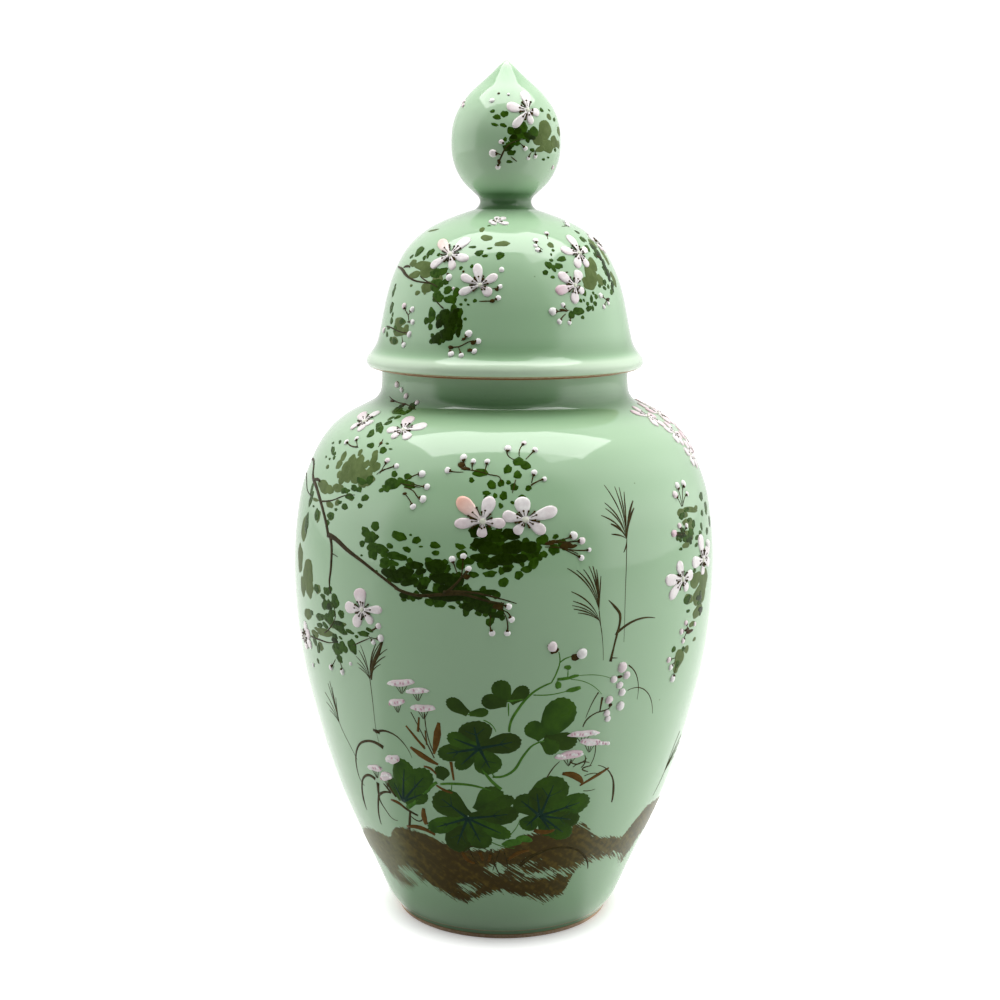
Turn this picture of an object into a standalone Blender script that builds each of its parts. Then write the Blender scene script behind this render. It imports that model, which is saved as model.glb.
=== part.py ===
"""A covered ginger jar in celadon porcelain.

The jar is thrown in two bowls luted at the belly, with a neck ring on top and a turned foot ring
below. The lid is a dome on a flared rim, with a locating ring under it that drops into the neck,
and a hollow onion finial on a short stem. Everything is turned about the Z axis. The origin is
the middle of the foot ring's resting face. Outlines are (radius, height) pairs in millimetres.
"""

import bmesh
import bpy
from mathutils import Vector

MM = 0.001

# Driving dimensions, in millimetres.
OVERALL_HEIGHT = 400.0
BELLY_SEAM = 162.0
FOOT_RADIUS = 50.2
FOOT_HEIGHT = 5.0
FOOT_WIDTH = 7.0
FLOOR_THICKNESS = 7.0
NECK_RADIUS = 57.5
NECK_SEAM = 247.0
MOUTH_HEIGHT = 260.5
BODY_WALL = 5.5
NECK_WALL = 5.0
LIP_RADIUS = 64.3
RIM_SEAM = 272.0
LID_WALL = 4.7
COLLAR_RADIUS = 51.0
COLLAR_WALL = 4.0
COLLAR_DEPTH = 12.0
STEM_RADIUS = 11.8
STEM_BASE = 333.0
STEM_TOP = 338.0
BULB_RADIUS = 25.0
BULB_MIDDLE = 363.5
CAVITY_RADIUS = 19.0
CAVITY_HALF_HEIGHT = 20.0
VENT_RADIUS = 3.0
LUTING_GAP = 0.3

FACETS = 40
CAVITY_STEPS = 8
SPAN_STEPS = 2
SHARP_ANGLE = 0.6

SEAT_HEIGHT = MOUTH_HEIGHT + LUTING_GAP

JAR_OUTLINE = [
    (FOOT_RADIUS, 0.0),
    (55.2, 8.0),
    (62.8, 25.0),
    (77.9, 60.0),
    (90.3, 100.0),
    (97.8, 141.0),
    (98.4, 182.0),
    (94.8, 205.0),
    (87.3, 225.0),
    (75.2, 238.0),
    (65.2, 243.6),
    (59.2, NECK_SEAM),
    (NECK_RADIUS, 252.0),
    (NECK_RADIUS, MOUTH_HEIGHT),
]

LID_OUTLINE = [
    (63.1, SEAT_HEIGHT),
    (LIP_RADIUS, 262.6),
    (LIP_RADIUS, 264.8),
    (63.2, 266.4),
    (61.2, 268.8),
    (59.4, RIM_SEAM),
    (57.7, 279.0),
    (54.6, 295.0),
    (50.9, 305.0),
    (45.5, 315.0),
    (38.6, 322.0),
    (30.0, 327.2),
    (20.5, 331.0),
    (14.0, STEM_BASE),
]

BULB_OUTLINE = [
    (STEM_RADIUS, STEM_TOP),
    (14.6, 340.6),
    (19.2, 345.0),
    (22.8, 351.0),
    (24.7, 358.0),
    (BULB_RADIUS, BULB_MIDDLE),
    (24.3, 371.0),
    (21.5, 378.0),
    (16.4, 385.0),
    (9.9, 391.0),
    (5.0, 395.4),
    (2.0, 398.8),
    (0.0, OVERALL_HEIGHT),
]


def smooth_through(knots):
    """Points on a Catmull-Rom curve through the knots, with SPAN_STEPS points to each span."""
    points = [Vector(knot) for knot in knots]
    ends = [2 * points[0] - points[1]] + points + [2 * points[-1] - points[-2]]
    found = []
    for before, start, stop, after in zip(ends, ends[1:], ends[2:], ends[3:]):
        for step in range(SPAN_STEPS):
            t = step / SPAN_STEPS
            found.append(
                0.5
                * (
                    2 * start
                    + (stop - before) * t
                    + (2 * before - 5 * start + 4 * stop - after) * t * t
                    + (3 * start - 3 * stop + after - before) * t * t * t
                )
            )
    return found + [points[-1]]


def cut_at(points, height):
    """The point where an outline that runs upwards crosses a height."""
    for low, high in zip(points, points[1:]):
        if low.y <= height <= high.y:
            share = (height - low.y) / (high.y - low.y)
            return low.lerp(high, share)
    return points[-1] if height > points[-1].y else points[0]


def between(points, low, high):
    """The stretch of an outline from one height to another, ends included."""
    clearance = 0.4
    kept = [p for p in points if low + clearance < p.y < high - clearance]
    return [cut_at(points, low)] + kept + [cut_at(points, high)]


def inset(points, depth):
    """The wall's inner face, moved square to the outline, with half as many points between its ends."""
    moved = []
    for i, point in enumerate(points):
        along = (points[min(i + 1, len(points) - 1)] - points[max(i - 1, 0)]).normalized()
        moved.append(point + Vector((-along.y, along.x)) * depth)
    return moved[:-1:2] + moved[-1:]


def turned(name, section, material, parent):
    """A solid turned about Z. A section that starts and ends on the axis is left open there."""
    mesh = bpy.data.meshes.new(name)
    shape = bmesh.new()
    corners = [shape.verts.new((r * MM, 0.0, z * MM)) for r, z in section]
    on_axis = section[0][0] == 0 and section[-1][0] == 0
    edges = [shape.edges.new(pair) for pair in zip(corners, corners[1:])]
    if not on_axis:
        edges.append(shape.edges.new((corners[-1], corners[0])))
    bmesh.ops.spin(
        shape,
        geom=corners + edges,
        cent=(0.0, 0.0, 0.0),
        axis=(0.0, 0.0, 1.0),
        angle=6.283185307179586,
        steps=FACETS,
        use_merge=True,
    )
    bmesh.ops.remove_doubles(shape, verts=shape.verts, dist=1e-6)
    bmesh.ops.recalc_face_normals(shape, faces=shape.faces)
    shape.to_mesh(mesh)
    shape.free()
    mesh.shade_smooth()
    mesh.set_sharp_from_angle(angle=SHARP_ANGLE)
    piece = bpy.data.objects.new(name, mesh)
    bpy.context.scene.collection.objects.link(piece)
    piece.data.materials.append(material)
    piece.parent = parent
    piece.matrix_parent_inverse = parent.matrix_world.inverted()
    return piece


def finish(name, colour, roughness):
    """A Principled material of one colour, in linear numbers."""
    material = bpy.data.materials.new(name)
    material.use_nodes = True
    shader = material.node_tree.nodes["Principled BSDF"]
    shader.inputs["Base Color"].default_value = (*colour, 1.0)
    shader.inputs["Roughness"].default_value = roughness
    shader.inputs["Metallic"].default_value = 0.0
    return material


def group(name, height):
    """An empty on the Z axis that a set of pieces is parented to."""
    empty = bpy.data.objects.new(name, None)
    empty.location = (0.0, 0.0, height * MM)
    bpy.context.scene.collection.objects.link(empty)
    bpy.context.view_layer.update()
    return empty


def make_jar(glaze, biscuit):
    """The jar: foot ring, lower bowl, upper bowl and neck ring."""
    jar = group("jar", 0.0)
    outer = smooth_through(JAR_OUTLINE)
    floor_top = FOOT_HEIGHT + FLOOR_THICKNESS

    foot_inner = FOOT_RADIUS - FOOT_WIDTH
    foot = [
        (foot_inner + 0.6, 0.0),
        (FOOT_RADIUS - 0.5, 0.0),
        (cut_at(outer, 0.6).x, 0.6),
        (cut_at(outer, FOOT_HEIGHT - LUTING_GAP).x, FOOT_HEIGHT - LUTING_GAP),
        (foot_inner, FOOT_HEIGHT - LUTING_GAP),
        (foot_inner, 0.6),
    ]
    turned("foot_ring", foot, biscuit, jar)

    lower = between(outer, FOOT_HEIGHT, BELLY_SEAM - LUTING_GAP)
    lower_inner = [p for p in inset(lower, BODY_WALL) if p.y > floor_top + 1.5]
    lower_inner[-1].y = lower[-1].y
    floor_edge = lower_inner[0].x - 3.0
    section = [(0.0, FOOT_HEIGHT)] + [tuple(p) for p in lower]
    section += [tuple(p) for p in reversed(lower_inner)]
    section += [(floor_edge, floor_top), (0.0, floor_top)]
    turned("lower_bowl", section, glaze, jar)

    upper = between(outer, BELLY_SEAM, NECK_SEAM - LUTING_GAP)
    upper_inner = [p for p in inset(upper, BODY_WALL) if p.y < upper[-1].y - 3.0]
    upper_inner[0].y = upper[0].y
    throat = NECK_RADIUS - NECK_WALL
    section = [tuple(p) for p in upper]
    section += [(throat, upper[-1].y), (throat, upper[-1].y - 3.5)]
    section += [tuple(p) for p in reversed(upper_inner)]
    turned("upper_bowl", section, glaze, jar)

    neck = between(outer, NECK_SEAM, MOUTH_HEIGHT)
    edge = 0.8
    section = [tuple(p) for p in neck[:-1]]
    section += [(NECK_RADIUS, MOUTH_HEIGHT - edge), (NECK_RADIUS - edge, MOUTH_HEIGHT)]
    section += [(throat + edge, MOUTH_HEIGHT), (throat, MOUTH_HEIGHT - edge)]
    section += [(throat, neck[0].y)]
    turned("neck_ring", section, glaze, jar)


def make_lid(glaze, biscuit):
    """The lid: flared rim, locating ring, dome, finial stem and finial bulb."""
    lid = group("lid", SEAT_HEIGHT)
    outer = smooth_through(LID_OUTLINE)
    collar_inner = COLLAR_RADIUS - COLLAR_WALL

    rim = between(outer, SEAT_HEIGHT, RIM_SEAM - LUTING_GAP)
    ledge = SEAT_HEIGHT + LID_WALL
    wall_foot = rim[-1].x - LID_WALL
    section = [tuple(p) for p in rim]
    section += [(wall_foot, rim[-1].y), (wall_foot - 1.0, ledge + 2.2)]
    section += [(wall_foot - 3.2, ledge), (collar_inner, ledge), (collar_inner, SEAT_HEIGHT)]
    turned("lid_rim", section, glaze, lid)

    collar_top = SEAT_HEIGHT - LUTING_GAP
    collar_foot = collar_top - COLLAR_DEPTH
    edge = 1.0
    section = [
        (collar_inner, collar_top),
        (collar_inner, collar_foot + edge),
        (collar_inner + edge, collar_foot),
        (COLLAR_RADIUS - edge, collar_foot),
        (COLLAR_RADIUS, collar_foot + edge),
        (COLLAR_RADIUS, collar_top),
    ]
    turned("locating_ring", section, biscuit, lid)

    dome = between(outer, RIM_SEAM, STEM_BASE)
    crown = STEM_BASE - LID_WALL
    dome_inner = [p for p in inset(dome, LID_WALL) if p.x > VENT_RADIUS and p.y < crown]
    dome_inner[0].y = dome[0].y
    section = [tuple(p) for p in dome] + [(VENT_RADIUS, STEM_BASE), (VENT_RADIUS, crown)]
    section += [tuple(p) for p in reversed(dome_inner)]
    turned("lid_dome", section, glaze, lid)

    stem_foot = STEM_BASE + LUTING_GAP
    stem_head = STEM_TOP - LUTING_GAP
    section = [
        (VENT_RADIUS, stem_foot),
        (STEM_RADIUS + 1.4, stem_foot),
        (STEM_RADIUS + 0.2, stem_foot + 1.0),
        (STEM_RADIUS, stem_head),
        (VENT_RADIUS, stem_head),
    ]
    turned("finial_stem", section, glaze, lid)

    section = [tuple(p) for p in smooth_through(BULB_OUTLINE)]
    cavity = []
    for step in range(CAVITY_STEPS + 1):
        height = 1.0 - 2.0 * step / CAVITY_STEPS
        radius = CAVITY_RADIUS * max(1.0 - height * height, 0.0) ** 0.5
        cavity.append((radius, BULB_MIDDLE + CAVITY_HALF_HEIGHT * height))
    cavity[-1] = (VENT_RADIUS, cavity[-1][1] + 0.3)
    turned("finial_bulb", section + cavity + [(VENT_RADIUS, STEM_TOP)], glaze, lid)


def main():
    """Clears the scene and builds the jar and its lid."""
    for leftover in list(bpy.data.objects):
        bpy.data.objects.remove(leftover)
    glaze = finish("celadon_glaze", (0.33, 0.52, 0.35), 0.08)
    biscuit = finish("bare_biscuit", (0.62, 0.50, 0.37), 0.75)
    make_jar(glaze, biscuit)
    make_lid(glaze, biscuit)


main()
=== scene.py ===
"""The looks of a covered ginger jar in celadon porcelain, painted in raised enamels.

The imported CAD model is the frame. Each of its nodes is replaced by a finely turned shell of the
same size, and the painting is laid on the glaze as thin closed marks of enamel: blossoming boughs
over the shoulder, lid and finial, grasses, a broad-leaved vine and a dry-brushed brown bank.

Places on the pot are (azimuth, height): degrees round from the front, positive towards +X, and
millimetres up from the table. Sizes are millimetres unless a name says otherwise.
"""

import logging
import math
import random
from dataclasses import dataclass, field
from enum import Enum
from functools import partial
from typing import Any, Callable, Iterable, Optional, Sequence

import bpy
import numpy as np
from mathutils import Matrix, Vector


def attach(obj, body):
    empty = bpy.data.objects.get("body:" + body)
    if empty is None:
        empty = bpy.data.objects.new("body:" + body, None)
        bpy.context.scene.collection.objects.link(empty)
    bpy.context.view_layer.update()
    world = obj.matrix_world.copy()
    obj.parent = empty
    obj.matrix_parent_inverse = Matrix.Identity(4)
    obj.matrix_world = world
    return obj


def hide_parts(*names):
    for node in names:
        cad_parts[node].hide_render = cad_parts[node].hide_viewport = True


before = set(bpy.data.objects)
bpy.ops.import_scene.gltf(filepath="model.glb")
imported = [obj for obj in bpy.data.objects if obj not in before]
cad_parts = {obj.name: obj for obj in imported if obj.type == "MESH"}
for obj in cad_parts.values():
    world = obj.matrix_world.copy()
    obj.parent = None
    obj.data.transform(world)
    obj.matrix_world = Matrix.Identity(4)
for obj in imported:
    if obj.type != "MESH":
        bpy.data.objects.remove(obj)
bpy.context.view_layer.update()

LOG = logging.getLogger("ginger_jar")
MM = 0.001

Add = Callable[..., Any]
Place = tuple[float, float]
Path = Sequence[Place]
Spots = Sequence[Sequence[float]]
Row = tuple[Any, ...]
Faces = Iterable[tuple[int, ...]]
Tint = tuple[float, float, float]
PLAIN: Tint = (0.0, 0.0, 0.0)
WHITE = (1.0, 1.0, 1.0, 1.0)


def new_piece(name: str, points: Any, faces: Any, material: bpy.types.Material) -> bpy.types.Object:
    """Makes a mesh with one material and puts it in the scene."""
    mesh = bpy.data.meshes.new(name)
    mesh.from_pydata(points, [], faces)
    mesh.materials.append(material)
    piece = bpy.data.objects.new(name, mesh)
    bpy.context.scene.collection.objects.link(piece)
    return piece


# Finishes
# --------


def linear(code: str) -> tuple[float, float, float, float]:
    """Turns an sRGB hex colour into linear light.

    Args:
        code: a colour such as "#9DBE9F".

    Returns:
        Red, green, blue and an alpha of 1.
    """
    parts = [int(code[i : i + 2], 16) / 255 for i in (1, 3, 5)]
    made = [c / 12.92 if c <= 0.04045 else ((c + 0.055) / 1.055) ** 2.4 for c in parts]
    return (made[0], made[1], made[2], 1.0)


def add_node(
    tree: bpy.types.NodeTree, kind: str, inputs: Optional[dict] = None, out: Any = 0, **settings: Any
) -> Any:
    """Adds a shader node, sets it up and links it.

    Args:
        tree: the material's or the world's node tree.
        kind: the node's type, without the word ShaderNode before it.
        inputs: a value, or another node's output socket, for each input by name or number.
        out: the wanted output's name or number.
        settings: the node's own properties.

    Returns:
        The wanted output socket; None from a node that has no outputs.
    """
    node = tree.nodes.new("ShaderNode" + kind)
    for name, value in settings.items():
        setattr(node, name, value)
    for key, value in (inputs or {}).items():
        socket = node.inputs[key]
        if isinstance(value, bpy.types.NodeSocket):
            tree.links.new(value, socket)
        else:
            socket.default_value = value
    return node.outputs[out] if node.outputs else None


def new_material(name: str) -> tuple[bpy.types.Material, Add]:
    """Makes an empty node material and returns it with what adds nodes to it."""
    material = bpy.data.materials.new(name)
    material.use_nodes = True
    material.node_tree.nodes.clear()
    return material, partial(add_node, material.node_tree)


@dataclass(frozen=True)
class CeladonGlaze:
    """Celadon: a pale green feldspathic glaze, dipped over white porcelain and fired in reduction.

    It gives a clear, deep gloss over a soft cool green. It runs thin and pale over edges, pools
    dark in grooves, with painted shade darkening them further, and ends in a toasted line where
    the clay was wiped bare. The bank is iron brown, brushed into it nearly dry, so its edges break
    up into bristle marks.
    """

    name: str = "celadon_glaze_dipped"
    body: str = "#97B894"
    drift: str = "#8FB28C"
    thin: str = "#D5E6CF"
    # The hollows' colour: pooled glaze, darkened further by painted shade.
    pooled_and_shaded: str = "#4C7446"
    speck: str = "#4E5B35"
    clay: str = "#CDBBA2"
    toast: str = "#9A6A3C"
    roughness: float = 0.07
    clay_roughness: float = 0.7
    ior: float = 1.52
    drift_size: float = 60.0
    grain_size: float = 1.2
    grain_depth: float = 0.1
    ripple_size: float = 14.0
    ripple_depth: float = 0.05
    speck_spacing: float = 7.0
    speck_size: float = 0.45
    speck_share: float = 0.82

    soil: str = "#41340B"
    soil_thin: str = "#5C4C16"
    soil_pale: str = "#706734"
    soil_radius: float = 78.0
    soil_reach: float = 12.0
    soil_slant: float = -36.0
    soil_tear: float = 20.0
    soil_fray: float = 3.0
    soil_mottle: float = 1.5
    soil_depth: float = 0.06
    bristle_length: float = 11.0
    bristle_width: float = 0.7

    def build(self) -> bpy.types.Material:
        """Builds the material. It reads the point attributes glaze_pool_and_shade, bare_clay and soil."""
        material, add = new_material(self.name)
        place = add("TexCoord", out="Object")
        drift = add("TexNoise", {"Vector": place, "Scale": 1 / (self.drift_size * MM), "Detail": 3.0})
        # Hollows darken towards the pooled colour: the glaze pooling there together with painted shade; edges
        # go pale where it thins.
        pool = add("Attribute", out="Fac", attribute_name="glaze_pool_and_shade")
        deep = add("MapRange", {"Value": pool, "To Max": 0.85})
        thin = add("MapRange", {"Value": pool, "From Max": -1.0, "To Max": 0.6})
        cells = add("TexVoronoi", {"Vector": place, "Scale": 1 / (self.speck_spacing * MM)}, "Distance")
        size = self.speck_size / self.speck_spacing
        near = add("MapRange", {"Value": cells, "From Min": size, "From Max": size * 0.5, "To Max": 0.55})
        chosen = {0: cells.node.outputs["Color"], 1: self.speck_share}
        speck = add("Math", {0: near, 1: add("Math", chosen, operation="GREATER_THAN")}, operation="MULTIPLY")
        colour: Any = linear(self.body)
        for share, code in ((drift, self.drift), (deep, self.pooled_and_shaded), (thin, self.thin), (speck, self.speck)):
            colour = add("Mix", {0: share, 6: colour, 7: linear(code)}, 2, data_type="RGBA")
        colour, soil = self.brush_soil(add, place, colour)

        bare = add("Attribute", out="Fac", attribute_name="bare_clay")
        grain = add("TexNoise", {"Vector": place, "Scale": 1 / (self.grain_size * MM), "Detail": 4.0})
        wiped = add("MapRange", {"Value": bare, "From Min": 0.45, "From Max": 0.6})
        toasted = add("MapRange", {"Value": bare, "From Min": 0.15, "From Max": 0.5})
        clay = add("Mix", {0: grain, 6: linear(self.clay), 7: linear(self.toast)}, 2, data_type="RGBA")
        for share, over in ((toasted, linear(self.toast)), (wiped, clay)):
            colour = add("Mix", {0: share, 6: colour, 7: over}, 2, data_type="RGBA")
        smooth = add("MapRange", {"Value": wiped, "To Min": self.roughness, "To Max": self.clay_roughness})
        roughness = add("Math", {0: soil, 1: 0.22, 2: smooth}, operation="MULTIPLY_ADD")
        sheen = add("MapRange", {"Value": soil, "To Min": 0.5, "To Max": 0.15})

        ripple = add("TexNoise", {"Vector": place, "Scale": 1 / (self.ripple_size * MM), "Detail": 2.0})
        skin = add("Bump", {"Strength": 1.0, "Distance": self.ripple_depth * MM, "Height": ripple})
        ridges = {"Strength": wiped, "Distance": self.grain_depth * MM, "Height": grain, "Normal": skin}
        skin = add("Bump", ridges)
        laid = {"Strength": 1.0, "Distance": self.soil_depth * MM, "Height": soil, "Normal": skin}
        skin = add("Bump", laid)
        inputs = {"Base Color": colour, "Roughness": roughness, "IOR": self.ior, "Specular IOR Level": sheen}
        add("OutputMaterial", {"Surface": add("BsdfPrincipled", inputs | {"Normal": skin})})
        return material

    def brush_soil(self, add: Add, place: Any, under: Any) -> tuple[Any, Any]:
        """Dry-brushes iron brown over the glaze.

        The colour attribute soil holds how far inside the bank a point is, how dry the brush was
        there and how thin the brown is. Bristle noise then breaks up the dry edges.

        Args:
            add: what adds nodes to the material.
            place: the point's place in the pot's own axes.
            under: the colour of the glaze.

        Returns:
            The colour with the brown on it, and where the brown is, 0 to 1.
        """
        held = add("Attribute", out="Color", attribute_name="soil")
        inside, dry, thin = add("SeparateColor", {"Color": held}).node.outputs[:3]
        axes = add("SeparateXYZ", {0: place}).node.outputs
        back = add("Math", {0: axes["Y"], 1: -1.0}, operation="MULTIPLY")
        turn = add("Math", {0: axes["X"], 1: back}, operation="ARCTAN2")
        east = add("Math", {0: turn, 1: self.soil_radius}, operation="MULTIPLY")
        north = add("Math", {0: axes["Z"], 1: MM}, operation="DIVIDE")
        flat = add("CombineXYZ", {"X": east, "Y": north})
        slant = math.radians(-self.soil_slant)
        turned = add("VectorRotate", {"Vector": flat, "Angle": slant}, rotation_type="Z_AXIS")
        drawn = (1 / self.bristle_length, 1 / self.bristle_width, 1.0)
        pressed = add("VectorMath", {0: turned, 1: drawn}, operation="MULTIPLY")
        bristles = add("TexNoise", {"Vector": pressed, "Scale": 1.0, "Detail": 2.0})
        ragged = add("TexNoise", {"Vector": flat, "Scale": 0.4, "Detail": 3.0})
        broad = add("TexNoise", {"Vector": pressed, "Scale": 0.22, "Detail": 3.0, "Roughness": 0.6})

        middle = -(self.soil_reach + self.soil_fray) / 2
        edge = add("Math", {0: inside, 1: self.soil_reach, 2: middle}, operation="MULTIPLY_ADD")
        edge = add("Math", {0: ragged, 1: self.soil_fray, 2: edge}, operation="MULTIPLY_ADD")
        torn = add("Math", {0: bristles, 1: self.soil_tear, 2: -self.soil_tear / 2}, operation="MULTIPLY_ADD")
        edge = add("Math", {0: torn, 1: dry, 2: edge}, operation="MULTIPLY_ADD")
        inputs = {"Value": edge, "From Min": -0.35, "From Max": 0.35}
        there = add("MapRange", inputs, interpolation_type="SMOOTHSTEP")

        mottle = add("Math", {0: broad, 1: ragged}, operation="ADD")
        mottle = add("Math", {0: mottle, 1: 0.95}, operation="SUBTRACT")
        pale = add("Math", {0: mottle, 1: self.soil_mottle, 2: thin}, operation="MULTIPLY_ADD")
        brown: Any = linear(self.soil)
        for low, high, code in ((0.0, 0.5, self.soil_thin), (0.45, 1.0, self.soil_pale)):
            inputs = {"Value": pale, "From Min": low, "From Max": high}
            share = add("MapRange", inputs, interpolation_type="SMOOTHSTEP")
            brown = add("Mix", {0: share, 6: brown, 7: linear(code)}, 2, data_type="RGBA")
        veil = add("Math", {0: thin, 1: -0.35, 2: 1.0}, operation="MULTIPLY_ADD")
        cover = add("Math", {0: there, 1: veil}, operation="MULTIPLY")
        return add("Mix", {0: cover, 6: under, 7: brown}, 2, data_type="RGBA"), there


@dataclass(frozen=True)
class OverglazeEnamel:
    """Enamel: coloured glass ground fine, brushed on over the fired glaze and fired again.

    It stands a little proud of the glaze, glossy where it is thick, and shows the brush in bands
    of thick and thin. Each mark's own tint pulls it towards the flush, the ember or the shade.
    """

    name: str
    base: str
    thick: str
    flush: str = "#DDA9BC"
    ember: str = "#E39A78"
    shade: str = "#2A2412"
    roughness: float = 0.3
    ior: float = 1.5
    band: float = 2.4
    band_depth: float = 0.05
    sheen: float = 0.07

    def build(self) -> bpy.types.Material:
        """Builds the material. It reads the colour attribute tint: flush, ember and shade."""
        material, add = new_material(self.name)
        place = add("TexCoord", out="Object")
        inputs = {"Vector": place, "Scale": 1 / (self.band * MM), "Detail": 3.0, "Roughness": 0.6}
        bands = add("TexNoise", inputs)
        share = add("MapRange", {"Value": bands, "From Min": 0.35, "From Max": 0.65})
        colour = add("Mix", {0: share, 6: linear(self.base), 7: linear(self.thick)}, 2, data_type="RGBA")
        tint = add("Attribute", out="Color", attribute_name="tint")
        amounts = add("SeparateColor", {"Color": tint}).node.outputs
        for amount, code in zip(amounts, (self.flush, self.ember, self.shade)):
            colour = add("Mix", {0: amount, 6: colour, 7: linear(code)}, 2, data_type="RGBA")
        dull, bright = self.roughness * 1.3, self.roughness * 0.7
        gloss = add("MapRange", {"Value": bands, "To Min": dull, "To Max": bright})
        bump = add("Bump", {"Strength": 1.0, "Distance": self.band_depth * MM, "Height": bands})
        inputs = {"Base Color": colour, "Roughness": gloss, "IOR": self.ior, "Specular IOR Level": self.sheen}
        add("OutputMaterial", {"Surface": add("BsdfPrincipled", inputs | {"Normal": bump})})
        return material


class Enamel(Enum):
    """The enamels on the painter's palette."""

    # Thick white slip enamel, piled up so that it casts a little shadow.
    PETAL = OverglazeEnamel(
        "white_slip_enamel_piled", "#DBD8D6", "#EBEAE7", flush="#D3A4B4", roughness=0.35, sheen=0.4
    )
    # The same white thinned with yellow green, at a blossom's heart.
    HEART = OverglazeEnamel("pale_heart_enamel_dotted", "#C6CAB8", "#D2D4C4", roughness=0.35)
    # Umber line enamel, drawn with the tip of the brush.
    STAMEN = OverglazeEnamel("umber_line_enamel_drawn", "#2F240A", "#44350F", roughness=0.4)
    # Chrome green foliage enamel, dabbed on thick.
    LEAF = OverglazeEnamel(
        "chrome_green_enamel_dabbed", "#36580E", "#254207", shade="#141F00", roughness=0.28
    )
    # The same green thinned to a grey olive wash that the glaze shows through.
    WASH = OverglazeEnamel("olive_enamel_washed", "#5F7140", "#4E6030", roughness=0.4, band=5.0)
    # Manganese brown bark enamel.
    BARK = OverglazeEnamel("manganese_brown_enamel_drawn", "#2C260F", "#3E361B", roughness=0.4)
    # Fine brown black enamel for grasses.
    GRASS = OverglazeEnamel("sepia_line_enamel_drawn", "#322B10", "#463D1C", roughness=0.4)
    # Broad green leaf enamel, laid on in full strokes.
    VINE = OverglazeEnamel(
        "leaf_green_enamel_laid", "#2B4A17", "#3D6119", flush="#2B3A12", shade="#1D3B33", band=9.0
    )
    # Blue green enamel drawn along the veins.
    VEIN = OverglazeEnamel("blue_green_vein_enamel_drawn", "#173229", "#1C3A2C", roughness=0.3)
    # Lighter green enamel for tendrils.
    TENDRIL = OverglazeEnamel("grass_green_enamel_drawn", "#4C7A2A", "#3C661E", roughness=0.3)
    # Russet enamel for dry leaves.
    RUSSET = OverglazeEnamel("russet_enamel_laid", "#533B12", "#66491C", roughness=0.35)


# Turned shapes
# -------------


def smooth_curve(knots: Sequence[Place], step: float) -> np.ndarray:
    """Runs a smooth curve through knots.

    Args:
        knots: points that the curve passes through.
        step: the most distance between two points of the result.

    Returns:
        The curve's points, one row each.
    """
    points = np.array(knots, float)
    gaps = np.linalg.norm(np.diff(points, axis=0), axis=1)
    at = np.concatenate([[0.0], np.cumsum(np.sqrt(gaps))])
    slopes = np.gradient(points, at, axis=0, edge_order=1 if len(points) < 3 else 2)
    rows = []
    for i, gap in enumerate(gaps):
        count = max(3, math.ceil(gap / step))
        t = np.linspace(0, 1, count, endpoint=False)[:, None]
        span = at[i + 1] - at[i]
        rows.append(
            (2 * t**3 - 3 * t**2 + 1) * points[i]
            + (t**3 - 2 * t**2 + t) * span * slopes[i]
            + (-2 * t**3 + 3 * t**2) * points[i + 1]
            + (t**3 - t**2) * span * slopes[i + 1]
        )
    rows.append(points[-1:])
    return np.concatenate(rows)


@dataclass
class Outline:
    """A smooth outer outline turned about the vertical axis, running upwards."""

    knots: Path
    step: float = 2.5
    pool_and_shade_reach: float = 3.0
    pool_and_shade_gain: float = 9.0
    points: np.ndarray = field(init=False)
    normals: np.ndarray = field(init=False)
    arc: np.ndarray = field(init=False)
    pool: np.ndarray = field(init=False)

    def __post_init__(self) -> None:
        """Works out the curve, its outward normals and how the glaze gathers along it.

        Where the glaze gathers in hollows, the same measure also paints shade into them.
        """
        self.points = smooth_curve(self.knots, self.step)
        gaps = np.linalg.norm(np.diff(self.points, axis=0), axis=1)
        self.arc = np.concatenate([[0.0], np.cumsum(gaps)])
        along = np.gradient(self.points, self.arc, axis=0)
        along /= np.linalg.norm(along, axis=1)[:, None]
        self.normals = np.stack([along[:, 1], -along[:, 0]], axis=1)
        # Hollows of the outline score above 0: the glaze pools there, and the same score paints shade into
        # them.
        turn = np.gradient(np.unwrap(np.arctan2(along[:, 1], along[:, 0])), self.arc)
        spread = [np.exp(-(((self.arc - s) / self.pool_and_shade_reach) ** 2)) for s in self.arc]
        hollow = np.array([-(w * turn).sum() / w.sum() for w in spread])
        self.pool = np.clip(hollow * self.pool_and_shade_gain, -1.0, 1.0)

    def arc_at(self, height: float) -> float:
        """The distance along the outline at which it reaches a height."""
        return float(np.interp(height, self.points[:, 1], self.arc))

    def radius_at(self, height: float) -> float:
        """The outline's radius at a height."""
        return float(np.interp(height, self.points[:, 1], self.points[:, 0]))

    def stretch(self, low: float, high: float) -> "Run":
        """The stretch of the outline between two heights, as a run of a section."""
        start, stop = self.arc_at(low), self.arc_at(high)
        inner = self.arc[(self.arc > start + 0.1) & (self.arc < stop - 0.1)]
        at = np.concatenate([[start], inner, [stop]])
        return Run(*self.sample(at), pool=np.interp(at, self.arc, self.pool))

    def sample(self, at: np.ndarray) -> tuple[np.ndarray, np.ndarray]:
        """Points and outward normals at distances along the outline."""
        points = np.stack([np.interp(at, self.arc, self.points[:, k]) for k in (0, 1)], axis=-1)
        normals = np.stack([np.interp(at, self.arc, self.normals[:, k]) for k in (0, 1)], axis=-1)
        return points, normals

    def wall(self, low: float, high: float, depth: float, every: int = 3) -> "Run":
        """The wall's inner face between two heights, running down, on coarser rings."""
        inner = self.points - self.normals * depth
        between = np.flatnonzero((inner[:, 1] > low + 0.6) & (inner[:, 1] < high - 0.6))[::every]
        at = np.concatenate([[high], inner[between, 1][::-1], [low]])
        points = np.stack([np.interp(at, inner[:, 1], inner[:, 0]), at], axis=1)
        normals = np.stack([np.interp(at, inner[:, 1], self.normals[:, k]) for k in (0, 1)], axis=1)
        return Run(points, -normals, pool=np.full(len(at), -0.15))


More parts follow.
